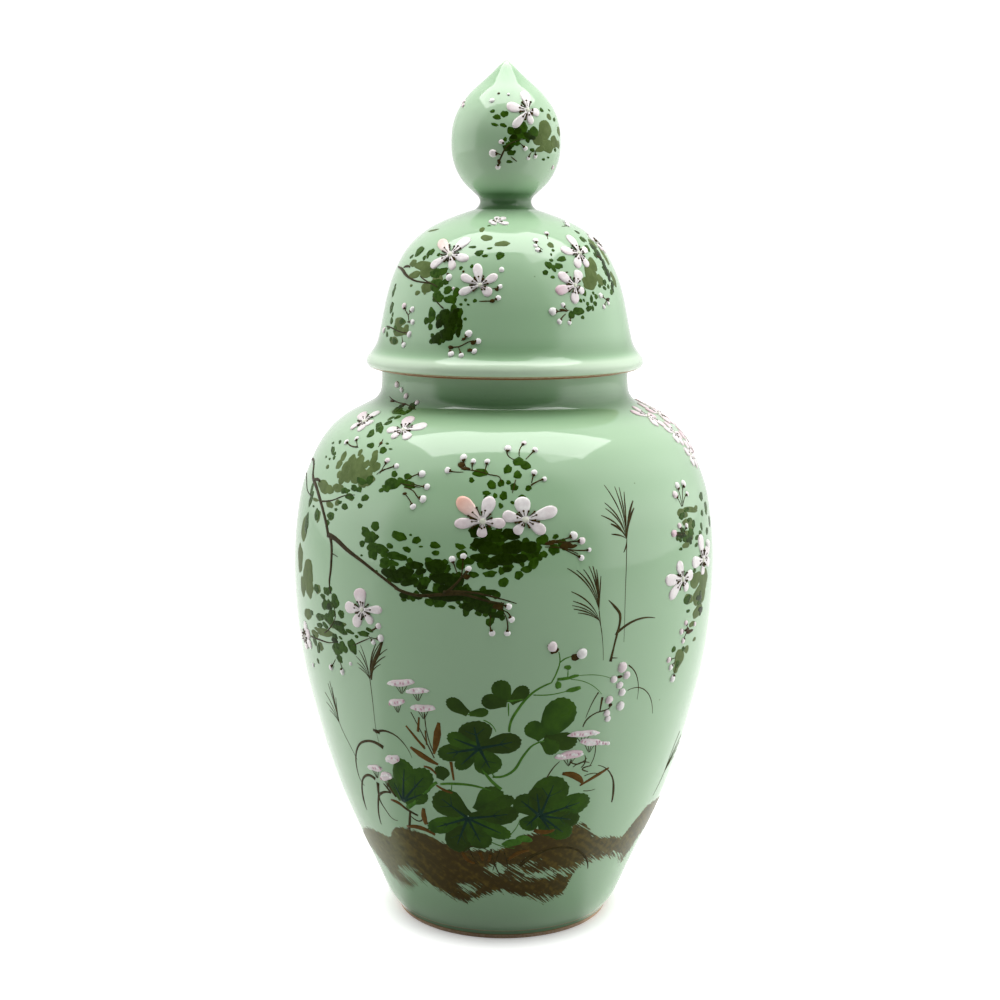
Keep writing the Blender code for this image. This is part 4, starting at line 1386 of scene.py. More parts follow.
MEADOW = Meadow(
    plumes=[
        (
            [(31.5, 150), (31.5, 172), (32, 185), (32.5, 194.5)],
            [
                (27.8, 217.5), (31, 216.5), (32.4, 216), (33.7, 214), (27, 210.3), (27, 208), (25.5, 205.3),
                (28, 201.5), (28, 197.2), (31.3, 189), (36, 210), (35.9, 207),
            ],
        ),
        (
            [(25.7, 143), (25.2, 152), (24.4, 160), (24, 165)],
            [
                (15.6, 184.3), (18, 183.3), (19.8, 183.4), (21.3, 184.5), (22.3, 184.5), (23.3, 183),
                (24.5, 180),
            ],
            0.85,
        ),
        ([(25, 155), (24.6, 158), (24.2, 160.5)], [
            (16.6, 174.3), (17, 170.2), (16.8, 168.4), (17.2, 166.8), (18.3, 165),
        ], 0.75),
        (
            [(-49, 88), (-50.5, 93), (-53, 100), (-54, 104)],
            [
                (-54.6, 124), (-55.8, 122.5), (-53.8, 121.5), (-59, 117), (-59.5, 112), (-58.5, 108.5),
                (-52.8, 117),
            ],
            0.8,
        ),
        (
            [(-37.3, 101), (-37.5, 107), (-37, 120), (-37, 131)],
            [
                (-32.5, 149), (-34, 148), (-39.3, 146), (-40, 143.5), (-41.2, 140.4), (-41, 137.5),
                (-40.6, 135.4), (-30.6, 146.5), (-31.3, 143), (-33, 139),
            ],
            0.75,
        ),
        ([(60, 66), (62, 72), (63, 76)], [(70.5, 92), (66.5, 95.5), (71, 88.5), (70, 85), (69, 82)], 0.7),
    ],
    blades=[
        ([(-36.5, 131), (-35.5, 138), (-33.5, 144), (-32, 149.5)], (0.8, 1.6, 1.8, 0.9)),
        ([(26.6, 169.3), (28.5, 166), (30, 162.5), (29.8, 157), (29, 153.5)], (0.3, 1.1, 1.2, 1, 1.2)),
        ([(29.4, 154.5), (28.5, 148), (27.8, 142)], (1, 0.8, 1.3)),
        ([(29.3, 154.5), (33, 158), (37, 159.3), (41.5, 158.3)], (1.1, 1, 0.7, 0.3)),
        ([(28, 143.5), (29.8, 143.2)], (0.8, 0.4)), ([(-38.6, 106.6), (-36.3, 106)], (1.2, 1.6)),
        ([
            (-37, 106.3), (-34, 107.5), (-30.5, 106), (-27.8, 101.5), (-26.5, 96.5),
        ], (1.2, 0.9, 0.6, 0.4, 0.2)),
        ([
            (-36, 98.8), (-40, 100.5), (-45, 98), (-48.5, 92), (-50.3, 85), (-50.5, 78), (-49, 75),
        ], (1.9, 1.2, 1, 0.9, 0.8, 0.6, 0.3)),
        ([
            (-42.3, 81), (-45, 82), (-48.5, 79), (-51, 73), (-52.5, 66), (-52.8, 61),
        ], (1.8, 1.1, 0.9, 1, 1.2, 0.4)),
        ([
            (-41.5, 79.5), (-42.5, 74), (-42.8, 70), (-41.5, 66), (-39.5, 62), (-37, 61.5),
        ], (1.7, 1.3, 0.8, 0.6, 0.5, 0.3)),
        ([(-42.5, 73), (-44.5, 67), (-46, 61), (-46.6, 56)], (1.2, 0.9, 0.8, 0.5)),
        ([(-42.3, 73), (-39.5, 75.5), (-36.8, 76)], (1.2, 1.1, 0.8)),
        ([(-36.8, 76), (-37.8, 78), (-39, 80)], (0.9, 1.1, 0.6)),
        ([(-37.2, 81), (-36.5, 78), (-35, 74.5)], (0.8, 1.4, 1)),
        ([(-25, 119), (-23.3, 113), (-21, 104), (-19.5, 98)], (0.6, 0.6, 0.8, 0.8)),
        ([(-21, 119), (-20.7, 108), (-19.5, 101)], (0.7, 0.6, 0.7)),
        ([(21.5, 113), (22.5, 116.5), (25, 119), (28.5, 120), (29.3, 122)], (0.8, 1, 0.8, 0.9, 0.5)),
        ([(22, 117), (23.5, 124), (25, 128.5)], (0.4, 0.6, 0.9)), ([(26, 119.5), (26.3, 126)], (0.5, 1.1)),
        ([(33.5, 139), (36, 135), (37.5, 129), (37.8, 122)], (0.8, 0.7, 0.5, 0.3)),
        ([(34, 127.3), (38, 127.5), (42, 123), (45, 113)], (0.4, 0.6, 0.6, 0.3)),
        ([(28, 93), (31.5, 90), (34.5, 84), (36, 76), (36.2, 72)], (0.3, 0.5, 0.7, 1.2, 0.7)),
        ([(12.5, 89.5), (14, 94), (15.8, 97.2)], (0.8, 0.8, 0.5)),
        ([(26, 104), (26.3, 98), (25.2, 93)], (0.5, 0.6, 0.5)),
        ([(19, 96.5), (21.5, 95), (24, 97.5)], (0.8, 0.9, 0.5)),
        ([(20, 93.8), (22.5, 95.6), (25, 95)], (0.6, 0.9, 0.5)),
        ([(22.6, 93), (23.6, 95.5), (23.2, 99)], (0.8, 0.8, 0.4)), ([(18.5, 94.5), (19.5, 97.5)], (0.5, 0.7)),
        ([(25, 90.5), (23, 92.3), (25.8, 93.4)], (0.6, 1, 0.6)),
        ([(24, 88.6), (26.6, 89.3), (28.6, 88.6)], (0.5, 0.7, 0.4)),
        ([(24.5, 81), (26.5, 80.6), (28.5, 80.9)], (0.5, 0.6, 0.3)),
        ([(-33, 58), (-31.8, 63), (-30.5, 69)], (1.1, 1.2, 0.9)),
        ([(-37.5, 72.2), (-34, 71), (-31.5, 69), (-28, 67)], (0.9, 1.2, 1.3, 0.9)),
        ([(-31, 66), (-28, 64), (-26, 66.5)], (0.9, 1, 0.7)),
        ([(-13.5, 50), (-12, 53), (-8.5, 54), (-5, 52)], (0.5, 0.9, 0.9, 0.5)),
        ([(-11.5, 52.5), (-10.5, 48), (-8.5, 44)], (0.9, 0.8, 0.6)),
        ([(-4, 53), (-3.4, 47), (-1, 38)], (1, 0.8, 0.6)),
        ([(-1, 52), (-2.3, 47), (-3.6, 41)], (0.9, 0.7, 0.5)),
        ([(0.5, 51), (1.5, 46), (1.8, 41)], (0.9, 0.7, 0.4)),
        ([(6.5, 43), (12, 49.5), (19, 52), (26, 50), (32, 43.5), (35, 36.5)], (0.9, 1.2, 1.1, 1.2, 1.1, 0.4)),
        ([(6, 44), (9, 48), (14, 51.5)], (1.1, 1, 0.5)),
    ],
    umbels=[
        ((-27.2, 132), 4.2, 1.7, 12, 0.35), ((-22.6, 129.3), 3.4, 1.4, 8, 0.25),
        ((-29, 122.6), 2.9, 1.6, 14, 0.3), ((-21.4, 121.6), 3.6, 1.8, 5, 0.3),
        ((-41.2, 87), 3.2, 1.8, 10, 0.3), ((-37.3, 84.2), 2.8, 2.2, 22, 0.35),
        ((-33.3, 94), 2.6, 2.5, 15, 0.2, False), ((22, 109.7), 4.6, 1.7, -3, 0.3),
        ((24.4, 105.2), 3.6, 1.8, -8, 0.25), ((18.6, 100), 4.6, 2, 3, 0.55),
        ((28.3, 103.8), 2.4, 1, -8, 0.1, False),
    ],
    russet=[
        ([(-19.5, 100), (-18.3, 107), (-17.2, 115.5)], (1.2, 3.2, 3.8, 1.4)),
        ([(-18.5, 95), (-22, 97.5), (-26.5, 101.8)], (1.2, 3, 3.2, 1.4)),
        ([(-23.5, 110), (-22.7, 117)], (1.4, 0.9)), ([(-22, 102), (-24.5, 107), (-27, 112)], (1.2, 1.5, 0.9)),
        ([(-21.3, 104), (-21.3, 111)], (1.3, 1)), ([(-24.5, 107), (-22, 103)], (1, 1)),
        ([(-14.3, 88), (-14.7, 97)], (1, 1.6)), ([(-23, 93.2), (-21, 92.5), (-19.5, 90)], (1, 1.5, 0.8)),
        ([(-19.8, 84.5), (-17.5, 82.5), (-15, 81.5)], (1, 1.6, 1.1)),
        ([(-25.5, 63), (-25.8, 67), (-25.3, 71.5)], (2.2, 3.2, 1.6)),
        ([(-37.5, 72.2), (-34.5, 71.6), (-32.5, 69.5)], (1.2, 2, 1.2)),
        ([(17, 91), (20, 90), (22.5, 87.5), (24, 84.5)], (1.6, 3.4, 3.4, 1.2)),
        ([(23, 84), (27, 87), (32, 90.6)], (0.9, 1.7, 2, 1)),
        ([(-33.5, 59.5), (-28, 60.5), (-23, 58)], (1.6, 3, 1.6)),
        ([(-14, 50), (-12.5, 46), (-10, 44.5)], (1.6, 2.6, 1.4)), ([(-8, 51), (-7, 46.5)], (2, 1.2)),
        ([(-4.2, 50), (-5, 46)], (1.6, 1.4)), ([(2, 47), (5, 50.5), (9, 52)], (1.4, 2.6, 1.2)),
        ([(10, 63), (14, 61.5), (17, 62.5)], (2, 3.4, 1.4)),
    ],
    leaves=[
        ((-9, 120.5), [(-14.5, 126.5, 6.2), (-4, 122, 4.1)], False),
        ((1, 126), [(-1.5, 136, 7.9), (-5.5, 127, 6.8)], False), ((1.5, 126), [(6, 133, 6.2)], False),
        ((-6.5, 104.5), [
            (-8, 117, 14.1), (-15, 109.5, 7.5), (-18, 100, 8.3), (4.5, 108.5, 9.6), (-3, 92.5, 11.7),
            (-13, 94, 6.6),
        ]),
        ((10.5, 108.5), [(17, 126.5, 14.1), (6.5, 116.5, 7.9), (20, 106, 8.5), (15, 102.5, 7.9)], False),
        ((-32.5, 73), [(-29, 94.5, 11.3), (-21.5, 91, 11.1), (-35, 84, 8.5), (-23.5, 80, 8.5)]),
        ((-18.5, 87.5), [(-17, 94, 6.6)], False),
        ((-11, 69), [
            (-20.5, 80, 14.1), (-24.5, 61, 8.5), (-16.5, 51, 12.2), (4.5, 72.5, 10.3), (2, 60, 7.9),
            (-6.5, 53.5, 11.3),
        ]),
        ((-8, 72.5), [(-1, 84.5, 10.9), (3, 80, 7.5)], False), ((11, 71), [(4, 80.5, 9.8), (6.5, 64, 8.6)]),
        ((11.5, 70.5), [
            (15.5, 89.5, 16), (9.5, 85, 8.5), (27, 76.5, 11.3), (24.5, 66, 10.3), (22, 58, 10.3),
            (16.5, 60, 8.5),
        ]),
    ],
    tendrils=[
        ([(-31.5, 70), (-27, 75.5), (-22, 83), (-19.5, 86)], 2.2),
        ([(-0.5, 84.5), (-3, 88), (-4.5, 91), (-6, 94.5)], 1.4),
        ([(-3, 90.7), (0, 91), (3, 94), (5.5, 101), (8, 106), (11, 107.7)], 1.1),
        ([(-18.5, 85.3), (-14, 86.2), (-9, 86), (-3, 83.5)], 1.2),
        ([(-2.6, 91), (-3.2, 93.5), (-2.4, 96)], 0.9), ([(-5.2, 118), (-3, 115.7), (-2, 112.5)], 0.8),
        ([(1.5, 112.5), (2, 118), (4, 124), (5.5, 127.5), (8, 131.5), (12, 134.8)], 1.1),
        ([(1.2, 126), (1.3, 120)], 0.9), ([(-9.3, 120.3), (-6, 120.6), (-4.5, 121)], 1),
        ([(1, 127), (3, 127.3), (5, 128)], 1.2), ([(12, 134.8), (13.3, 139.5), (14, 144), (13.6, 148.4)], 1),
        ([(14, 143.7), (15.5, 145.4), (17.4, 146.1)], 0.9),
        ([(7.5, 129.6), (12, 129.4), (15.5, 130.3), (17.5, 131)], 0.8),
        ([(13.5, 136.2), (16, 136.4), (19, 137.2)], 1.3), ([(19, 137.2), (25, 136.3), (29, 133.6)], 0.45),
        ([(17, 135.8), (22, 133.2), (26, 127.5)], 0.5), ([(16.2, 137), (16.2, 140.5)], 0.7),
        ([(14, 103), (12.5, 106.3), (11, 107.7)], 0.8), ([(-16, 79), (-15.3, 83), (-15, 86)], 0.8),
        ([(2, 60.5), (4, 64), (5.3, 69)], 0.7), ([(-4, 57), (0, 54.5), (4, 53.5)], 0.9),
    ],
    small_leaves=[
        (18, 131.1, 2.3, 1.1, 10), (13.8, 133.6, 0.9, 1.9, 20), (16.1, 141.3, 1, 1.1), (18, 137.2, 1.3, 0.7),
        (3, 56.5, 3.6, 2.2, 10), (7, 58.5, 3, 2, -10),
    ],
    buds=[
        (12, 150.9, 2.4, 0.25), (19.7, 147, 2.5), (31.5, 138.6, 2.5, 0.3), (29.2, 133.6, 1.8, 0.2),
        (33.1, 134.6, 1.9, 0.2), (31.2, 130.5, 1.8, 0.15), (32.2, 127, 1.9, 0.1), (28.4, 124.4, 2, 0.3),
        (32.2, 120.6, 2.2, 0.05), (28.2, 118.2, 1.7, 0.2), (28.7, 115.4, 1.6, 0.1),
    ],
    knots=[
        (12.6, 149.1, 1.2, 1.3, 30), (18, 145.6, 1.3, 1.6), (31, 134.4, 0.8, 0.8), (29, 121.8, 0.6, 0.9),
        (11.2, 151.4, 0.5, 0.4), (-37.3, 106.2, 0.8, 1),
    ],
)

BANK = Bank(
    crest=[
        (-90, 38), (-73, 40), (-65, 46), (-58, 49.5), (-50, 50.5), (-44, 50), (-40, 57), (-36, 58.5),
        (-30, 58), (-25, 57), (-20, 54), (-15, 52), (-5, 52), (0, 53), (5, 58), (10, 62), (20, 63), (25, 64),
        (30, 60), (32, 56), (38, 53), (43, 51), (48, 49), (52, 55), (57, 61), (65, 62), (72, 60), (90, 52),
    ],
    toe=[
        (-90, 30), (-65, 34), (-58, 27), (-52, 23), (-45, 22), (-38, 28), (-33, 30), (-28, 27), (-22, 23),
        (-16, 21), (-10, 25), (-5, 28), (0, 29), (5, 27), (12, 25), (20, 23), (26, 24), (29, 38), (33, 42),
        (45, 41), (52, 38), (58, 31), (66, 44), (90, 44),
    ],
    gaps=[(-2, 42, 3.6, 2.6), (-40, 30, 5, 4.5), (8, 44, 2.5, 1.2), (-14, 30, 3, 2.2), (15, 37.5, 9, 1.6)],
    crest_dryness=[
        (-90, 0.1), (-35, 0.15), (-10, 0.2), (10, 0.5), (25, 0.6), (30, 0.3), (50, 0.15), (90, 0.1),
    ],
    toe_dryness=[
        (-90, 0.5), (-60, 0.9), (-40, 1), (-30, 0.6), (0, 0.6), (20, 0.9), (32, 1), (60, 0.9), (90, 0.5),
    ],
    thinness=[
        (-90, 0.35), (-60, 0.4), (-42, 0.4), (-34, 0.1), (-20, 0), (15, 0), (28, 0.1), (45, 0.15), (90, 0.3),
    ],
)

DOME_LEFT = Bough(
    bark=[
        ([
            (-78, 307), (-67, 306), (-62, 304.5), (-57, 303), (-50, 301.5), (-44, 301), (-38, 300.5),
            (-34, 299),
        ], (0.8, 1.3, 1.9, 1.1, 0.9, 0.8, 0.5)),
        ([(-66, 307), (-62, 307.6), (-58.5, 307.2)], (1, 1.5, 0.7)),
        ([(-36, 295), (-32, 292), (-29, 290)], (0.4, 0.8, 0.9)),
        ([(-47, 303.5), (-43, 302), (-38, 300.5)], (0.5, 0.9, 0.5)),
        ([(-69, 280.5), (-63, 280.2), (-55, 279), (-50, 278.5)], (0.9, 1, 0.8, 0.5)),
        ([(49, 325.5), (56, 325.8), (66, 326.6)], (0.4, 1, 0.9)),
    ],
    twigs=[
        [(-24.5, 274), (-20, 274), (-16, 276), (-13.5, 276.8)], [(-12, 293.5), (-8, 293.6), (-5.5, 293.8)],
        [(-53, 288.5), (-50, 286.5), (-48.5, 283)],
    ],
    washes=[
        (-47, 308, 8, 2.6), (-52, 304, 5, 2), (-43, 306, 6, 3.6), (-57, 309, 4, 2), (-40, 299, 5, 2.6),
        (-52, 299.3, 1.3, 0.7), (-46, 296.3, 2, 1.2), (-41, 296.3, 1, 0.8), (-35, 303, 3.5, 2.5),
        (-17, 324, 2, 2.4), (-12, 320.5, 4, 2.2), (-2, 318, 5, 1.7), (-64, 323.5, 7, 1), (-56, 283, 5, 2.5),
        (-55, 279, 6, 2.4), (-58, 274.7, 4, 2), (-50, 280, 2.5, 2.5),
    ],
    leaves=[
        (-57, 314.3, 4, 3, -20), (-62.5, 311.8, 2, 1.2), (-47, 313.2, 1.6, 2.4), (-45, 314.2, 2, 1.9),
        (-49, 311.5, 1.5, 1.4), (-39, 313, 1.4, 1), (-37, 305, 3.6, 2.6), (-33, 306, 3.4, 1.8),
        (-35, 300, 4.4, 3), (-33, 295, 3.6, 2.7), (-26, 294, 3.6, 2.1), (-23.5, 297, 1.8, 2.6),
        (-28, 298, 2.6, 2), (-30, 301.5, 2, 1.6), (-19, 316.5, 2.4, 0.8), (-14.5, 314, 2.8, 1.6),
        (-11, 312.8, 2, 0.8), (-9, 316, 1.9, 0.6), (-3, 313, 2.4, 2.2), (-23, 307.5, 1.2, 1),
        (-17.3, 308.3, 1, 1), (-3.5, 328.5, 2, 1.4), (-13, 325.7, 1.4, 0.7), (-18.5, 294, 0.9, 0.8),
        (-14, 293.7, 1.1, 0.9), (-20.5, 292, 0.9, 0.7), (-17, 292, 0.8, 0.5), (-18, 285.8, 0.9, 0.8),
        (-35, 287, 2.4, 3.4), (-37.5, 284.5, 1.8, 1.8), (-35, 282, 1.5, 1.6), (-64, 283.2, 1.9, 1.7),
        (-66, 280, 2.2, 1), (-66.5, 277, 1.8, 1.3), (-61.5, 275.3, 1.4, 1), (-69, 296, 2, 2.6),
        (-67, 289, 2.6, 2.6), (-69, 298.5, 1.6, 1.3), (-64, 286, 1.2, 1.2), (-57.5, 274.6, 2.4, 1.4),
        (-54, 283.5, 2.6, 1.3), (-59, 280, 1.8, 1.6),
    ],
    dense=[
        (-28, 286.5, 3.6, 3.6), (-23.5, 286, 3.4, 3.6), (-25, 282.2, 3.4, 2.6), (-26, 279.2, 4.4, 3),
        (-31, 277, 2.7, 2.6, -20), (-30.5, 283.5, 2, 2.4), (-20.5, 284, 1.6, 2.6), (-22.5, 289.3, 1.9, 1.4),
        (-20.8, 280, 1.4, 2.2),
    ],
    blossoms=[
        ((-31, 313), [
            (-43.5, 319.4, 5.4, 0, 0.45), (-23.5, 320.6, 5.8), (-19.4, 311.3, 4), (-42, 307.6, 4.2, 0.15),
            (-27, 306.7, 3.8),
        ]),
        ((-12, 300.3), [
            (-14.8, 309.6, 4.4), (-22.2, 304.4, 3.8), (-22.3, 296.6, 3.6, 0.1), (-6.5, 296.2, 4.4),
            (-4, 304.8, 4),
        ]),
        ((-8, 327.4), [
            (-15, 327.5, 3.4), (-10.5, 326, 3), (2.5, 326.4, 3.2), (-1, 329.3, 3.2), (-9, 329.6, 2.8),
        ], 1),
    ],
    sprigs=[
        (1.8, [(-19, 276.5), (-17.5, 278), (-16, 279.6)]),
        (1.4, [(-15, 276.2), (-13, 276.3), (-11.5, 276.5)]),
        (1.4, [(-16, 273), (-14.5, 272.5), (-13, 272.2)]),
        (1.3, [(-20, 273.6), (-19.2, 272), (-18.4, 270.4)]),
        (1.5, [(-24.3, 273.4), (-23.6, 272), (-23, 270.8)]), (1.3, [(-6, 293.8), (-4.8, 294.2), (-3.3, 295)]),
        (1.2, [(-6, 299), (-4.6, 299), (-2.6, 299.8)]),
        (1.6, [(-51, 287), (-52.5, 288.5), (-54, 290.2)], 0.35),
        (1.5, [(-50, 286), (-48.8, 287.6), (-47.5, 289)]), (1.4, [(-50, 283.5), (-48, 283.5), (-46, 283.6)]),
        (1.5, [(-51, 279), (-49, 278.6), (-47, 278.2)]), (1.4, [(-52, 277), (-51, 275), (-49.5, 273.4)]),
    ],
    buds=[(-28.5, 303.4, 1.7), (-2, 307, 1.3), (-71.5, 278.5, 1.6, 0.2), (-25.2, 298.8, 0.7, 0.3)],
    knots=[
        (-23.6, 273.6, 1.3, 0.9), (-18, 277.3, 1, 0.7), (-13.7, 275.8, 1.1, 1), (-15, 272.6, 1.2, 0.8),
        (-6, 293.7, 1.1, 1), (-4, 298.6, 1, 0.8, -30), (-21.3, 306, 0.7, 0.6), (-29.5, 304.8, 1, 0.6),
    ],
)

DOME_RIGHT = Bough(
    washes=[
        (27, 317.5, 2.4, 1.7), (48, 305, 5, 6), (45, 301, 5.5, 3.4), (52, 309, 4, 3.6), (54, 302, 3, 3),
        (72, 312, 3, 5), (70, 302, 3, 4), (66, 318, 4, 3),
    ],
    leaves=[
        (31, 311.5, 3, 1.5, 8), (22.5, 309, 2.4, 1.8), (25, 307.5, 1.3, 1.9), (28, 308.5, 2.7, 1.6),
        (20, 305.8, 1.7, 1.3), (23.5, 303.8, 1.2, 0.9), (27.3, 315.2, 1.2, 0.8, 40), (24.5, 311, 1.3, 0.9),
        (25.3, 313.4, 0.7, 0.8), (35, 289, 3.4, 2), (31, 287.5, 1.8, 2), (40, 297, 1.5, 1.9),
        (44, 294, 1.2, 1.9), (47.5, 295, 1.3, 1.4), (46, 292, 1.5, 1.2), (41.5, 290, 2.4, 1.2, 20),
        (37, 286.3, 1.2, 0.9), (44, 290, 0.8, 1.4), (37, 293.5, 1.1, 1), (39, 293.6, 0.7, 0.8),
        (41, 292, 1, 1.2), (46, 296.6, 1, 0.8), (57.5, 301, 2, 1.5), (56, 298.5, 1.8, 1),
        (52, 299.5, 1.4, 0.9), (62, 296.5, 1.7, 1.5), (60, 299, 1.4, 1.2), (55, 316, 2.4, 2.2),
        (58, 320, 3, 2), (60, 323, 2.4, 1.6), (56.5, 319.5, 2.4, 1.4),
    ],
    dense=[
        (62, 316.5, 2.4, 2.4), (63.5, 312.5, 2.2, 3), (64, 308, 2.2, 3), (64, 303.5, 2, 2.8),
        (65, 299.5, 1.8, 1.4), (60.5, 313, 1.8, 1),
    ],
    blossoms=[
        ((44.5, 313.8), [
            (45, 321.8, 5.2), (32.3, 315.6, 4.6, 0.3), (38.5, 307.6, 4.4, 0.2), (47.5, 307.8, 4.2),
            (53.5, 315.8, 3.6),
        ]),
        ((35, 300), [
            (27, 305.5, 4.8, 0.3), (40, 306.4, 5, 0.2), (23.8, 297.6, 4.6, 0.75), (39.8, 296.8, 3.6),
            (33.2, 292.2, 4.6, 0.25),
        ]),
        ((76, 318), [(70, 321, 4), (72, 315, 4, 0.3), (79, 313.5, 4), (83, 318.5, 4), (77, 322.5, 4)]),
    ],
    sprigs=[
        (1.4, [(21, 315.5), (18.5, 317.5), (18.3, 319.4)]),
        (1.3, [(27, 320), (27.5, 321), (28.3, 322.4)], 0.2),
        (1.3, [(20.5, 314.6), (19.2, 314.9), (18, 315.4)]),
        (1.9, [(30, 289.6), (25.5, 289.2), (21.6, 289.2)]), (1.3, [(28, 288), (26, 286.5), (24.5, 284.8)]),
        (1.1, [(31, 286.5), (30, 285.5), (29.5, 284.2)]), (1.2, [(29, 289.8), (28, 290.5), (27, 291.9)]),
        (1.4, [(55, 293.5), (53, 294.5), (51, 295.3)]), (1.2, [(55.5, 293), (53.5, 291.8), (52, 290.4)]),
        (1.1, [(57, 294), (56.3, 293), (56.2, 291.9)]),
    ],
    buds=[(59, 326, 1.7), (64, 326.9, 1.7), (17.3, 317.2, 1.1)],
    knots=[(27, 289.6, 2.2, 0.6), (56.5, 293.6, 2, 0.6), (62, 312, 2.6, 0.6), (32, 305.8, 0.8, 0.4)],
)

FINIAL_SPRAY = Bough(
    bark=[([(-8, 353.3), (-5, 356), (0, 360), (8, 362.5), (20, 363.6)], (1, 1.1, 0.9, 0.6, 0.3))],
    twigs=[[(5, 356), (8, 355), (12, 353.9)]],
    washes=[
        (45, 368, 11, 4.6), (48, 361, 12, 3.2), (35, 364, 9, 3), (60, 363, 8, 3), (55, 374, 5, 1.6),
        (70, 362, 7, 2), (75, 368, 7, 2.4), (38, 359.5, 7, 1.4),
    ],
    leaves=[
        (-15.5, 375.8, 3.2, 0.9), (-10, 373.2, 5, 1.3, -4), (-2, 374.6, 4.6, 1.8),
        (-12, 369.9, 4.2, 0.8, -14), (-3, 369.6, 4, 1, -25), (5, 367.2, 4.5, 1.9), (18, 368.6, 5.5, 2.6),
        (15, 365, 9, 1.3), (30, 367, 5.5, 2.6), (5, 361.4, 6, 1.2), (12, 361.6, 3, 1), (5, 357.6, 4, 1.4),
        (3.5, 353.8, 3.6, 0.8), (45, 376.8, 3.2, 1.2), (60, 377, 2.6, 0.6), (44, 355.1, 3, 0.6),
        (51, 356, 2.4, 0.5), (28, 359, 3, 1), (10, 370.6, 3, 1.4), (-1, 363.5, 2, 1.2), (8.5, 358, 2, 0.8),
        (63, 359.5, 3, 1), (66, 373, 4, 1, 20),
    ],
    dense=[
        (12, 367, 5, 1.6), (22, 365.4, 5, 1.6), (8, 364.6, 5, 1.2), (3, 359.8, 3.4, 1.4), (27, 364.4, 5, 1.2),
    ],
    blossoms=[
        ((25, 376.3), [
            (0.5, 378.2, 5.4, 0.25), (28, 385.3, 5), (6, 368.6, 3.6, 0.15), (27, 370, 3.4), (40, 375.2, 4),
        ], 3, 0.5),
    ],
    sprigs=[
        (1.2, [(-2, 361.4), (-3.5, 362), (-5, 362.4)], 0.2),
        (1.9, [(-4, 356.5), (-9, 357.3), (-13.6, 357.4)], 0.15),
        (1.3, [(-7, 354), (-8, 352.8), (-9, 351.4)], 0.1), (1.3, [(15, 361.6), (18, 360.5), (20, 359.6)]),
        (1, [(27, 358), (25, 356.6), (24, 355.4)]), (1.1, [(31, 358.6), (32, 357.4), (32.2, 356.2)]),
    ],
    buds=[
        (-18.5, 380.6, 1.3), (3, 383.4, 0.8), (-66, 379, 1.2, 0.4), (-72, 380.6, 1.3, 0.3),
        (66, 351.8, 1.1, 0.4),
    ],
    knots=[(-11, 383.8, 2.2, 0.6), (-7.5, 353.8, 2, 1.2), (3, 383, 1.6, 0.4)],
)


# The pot
# -------


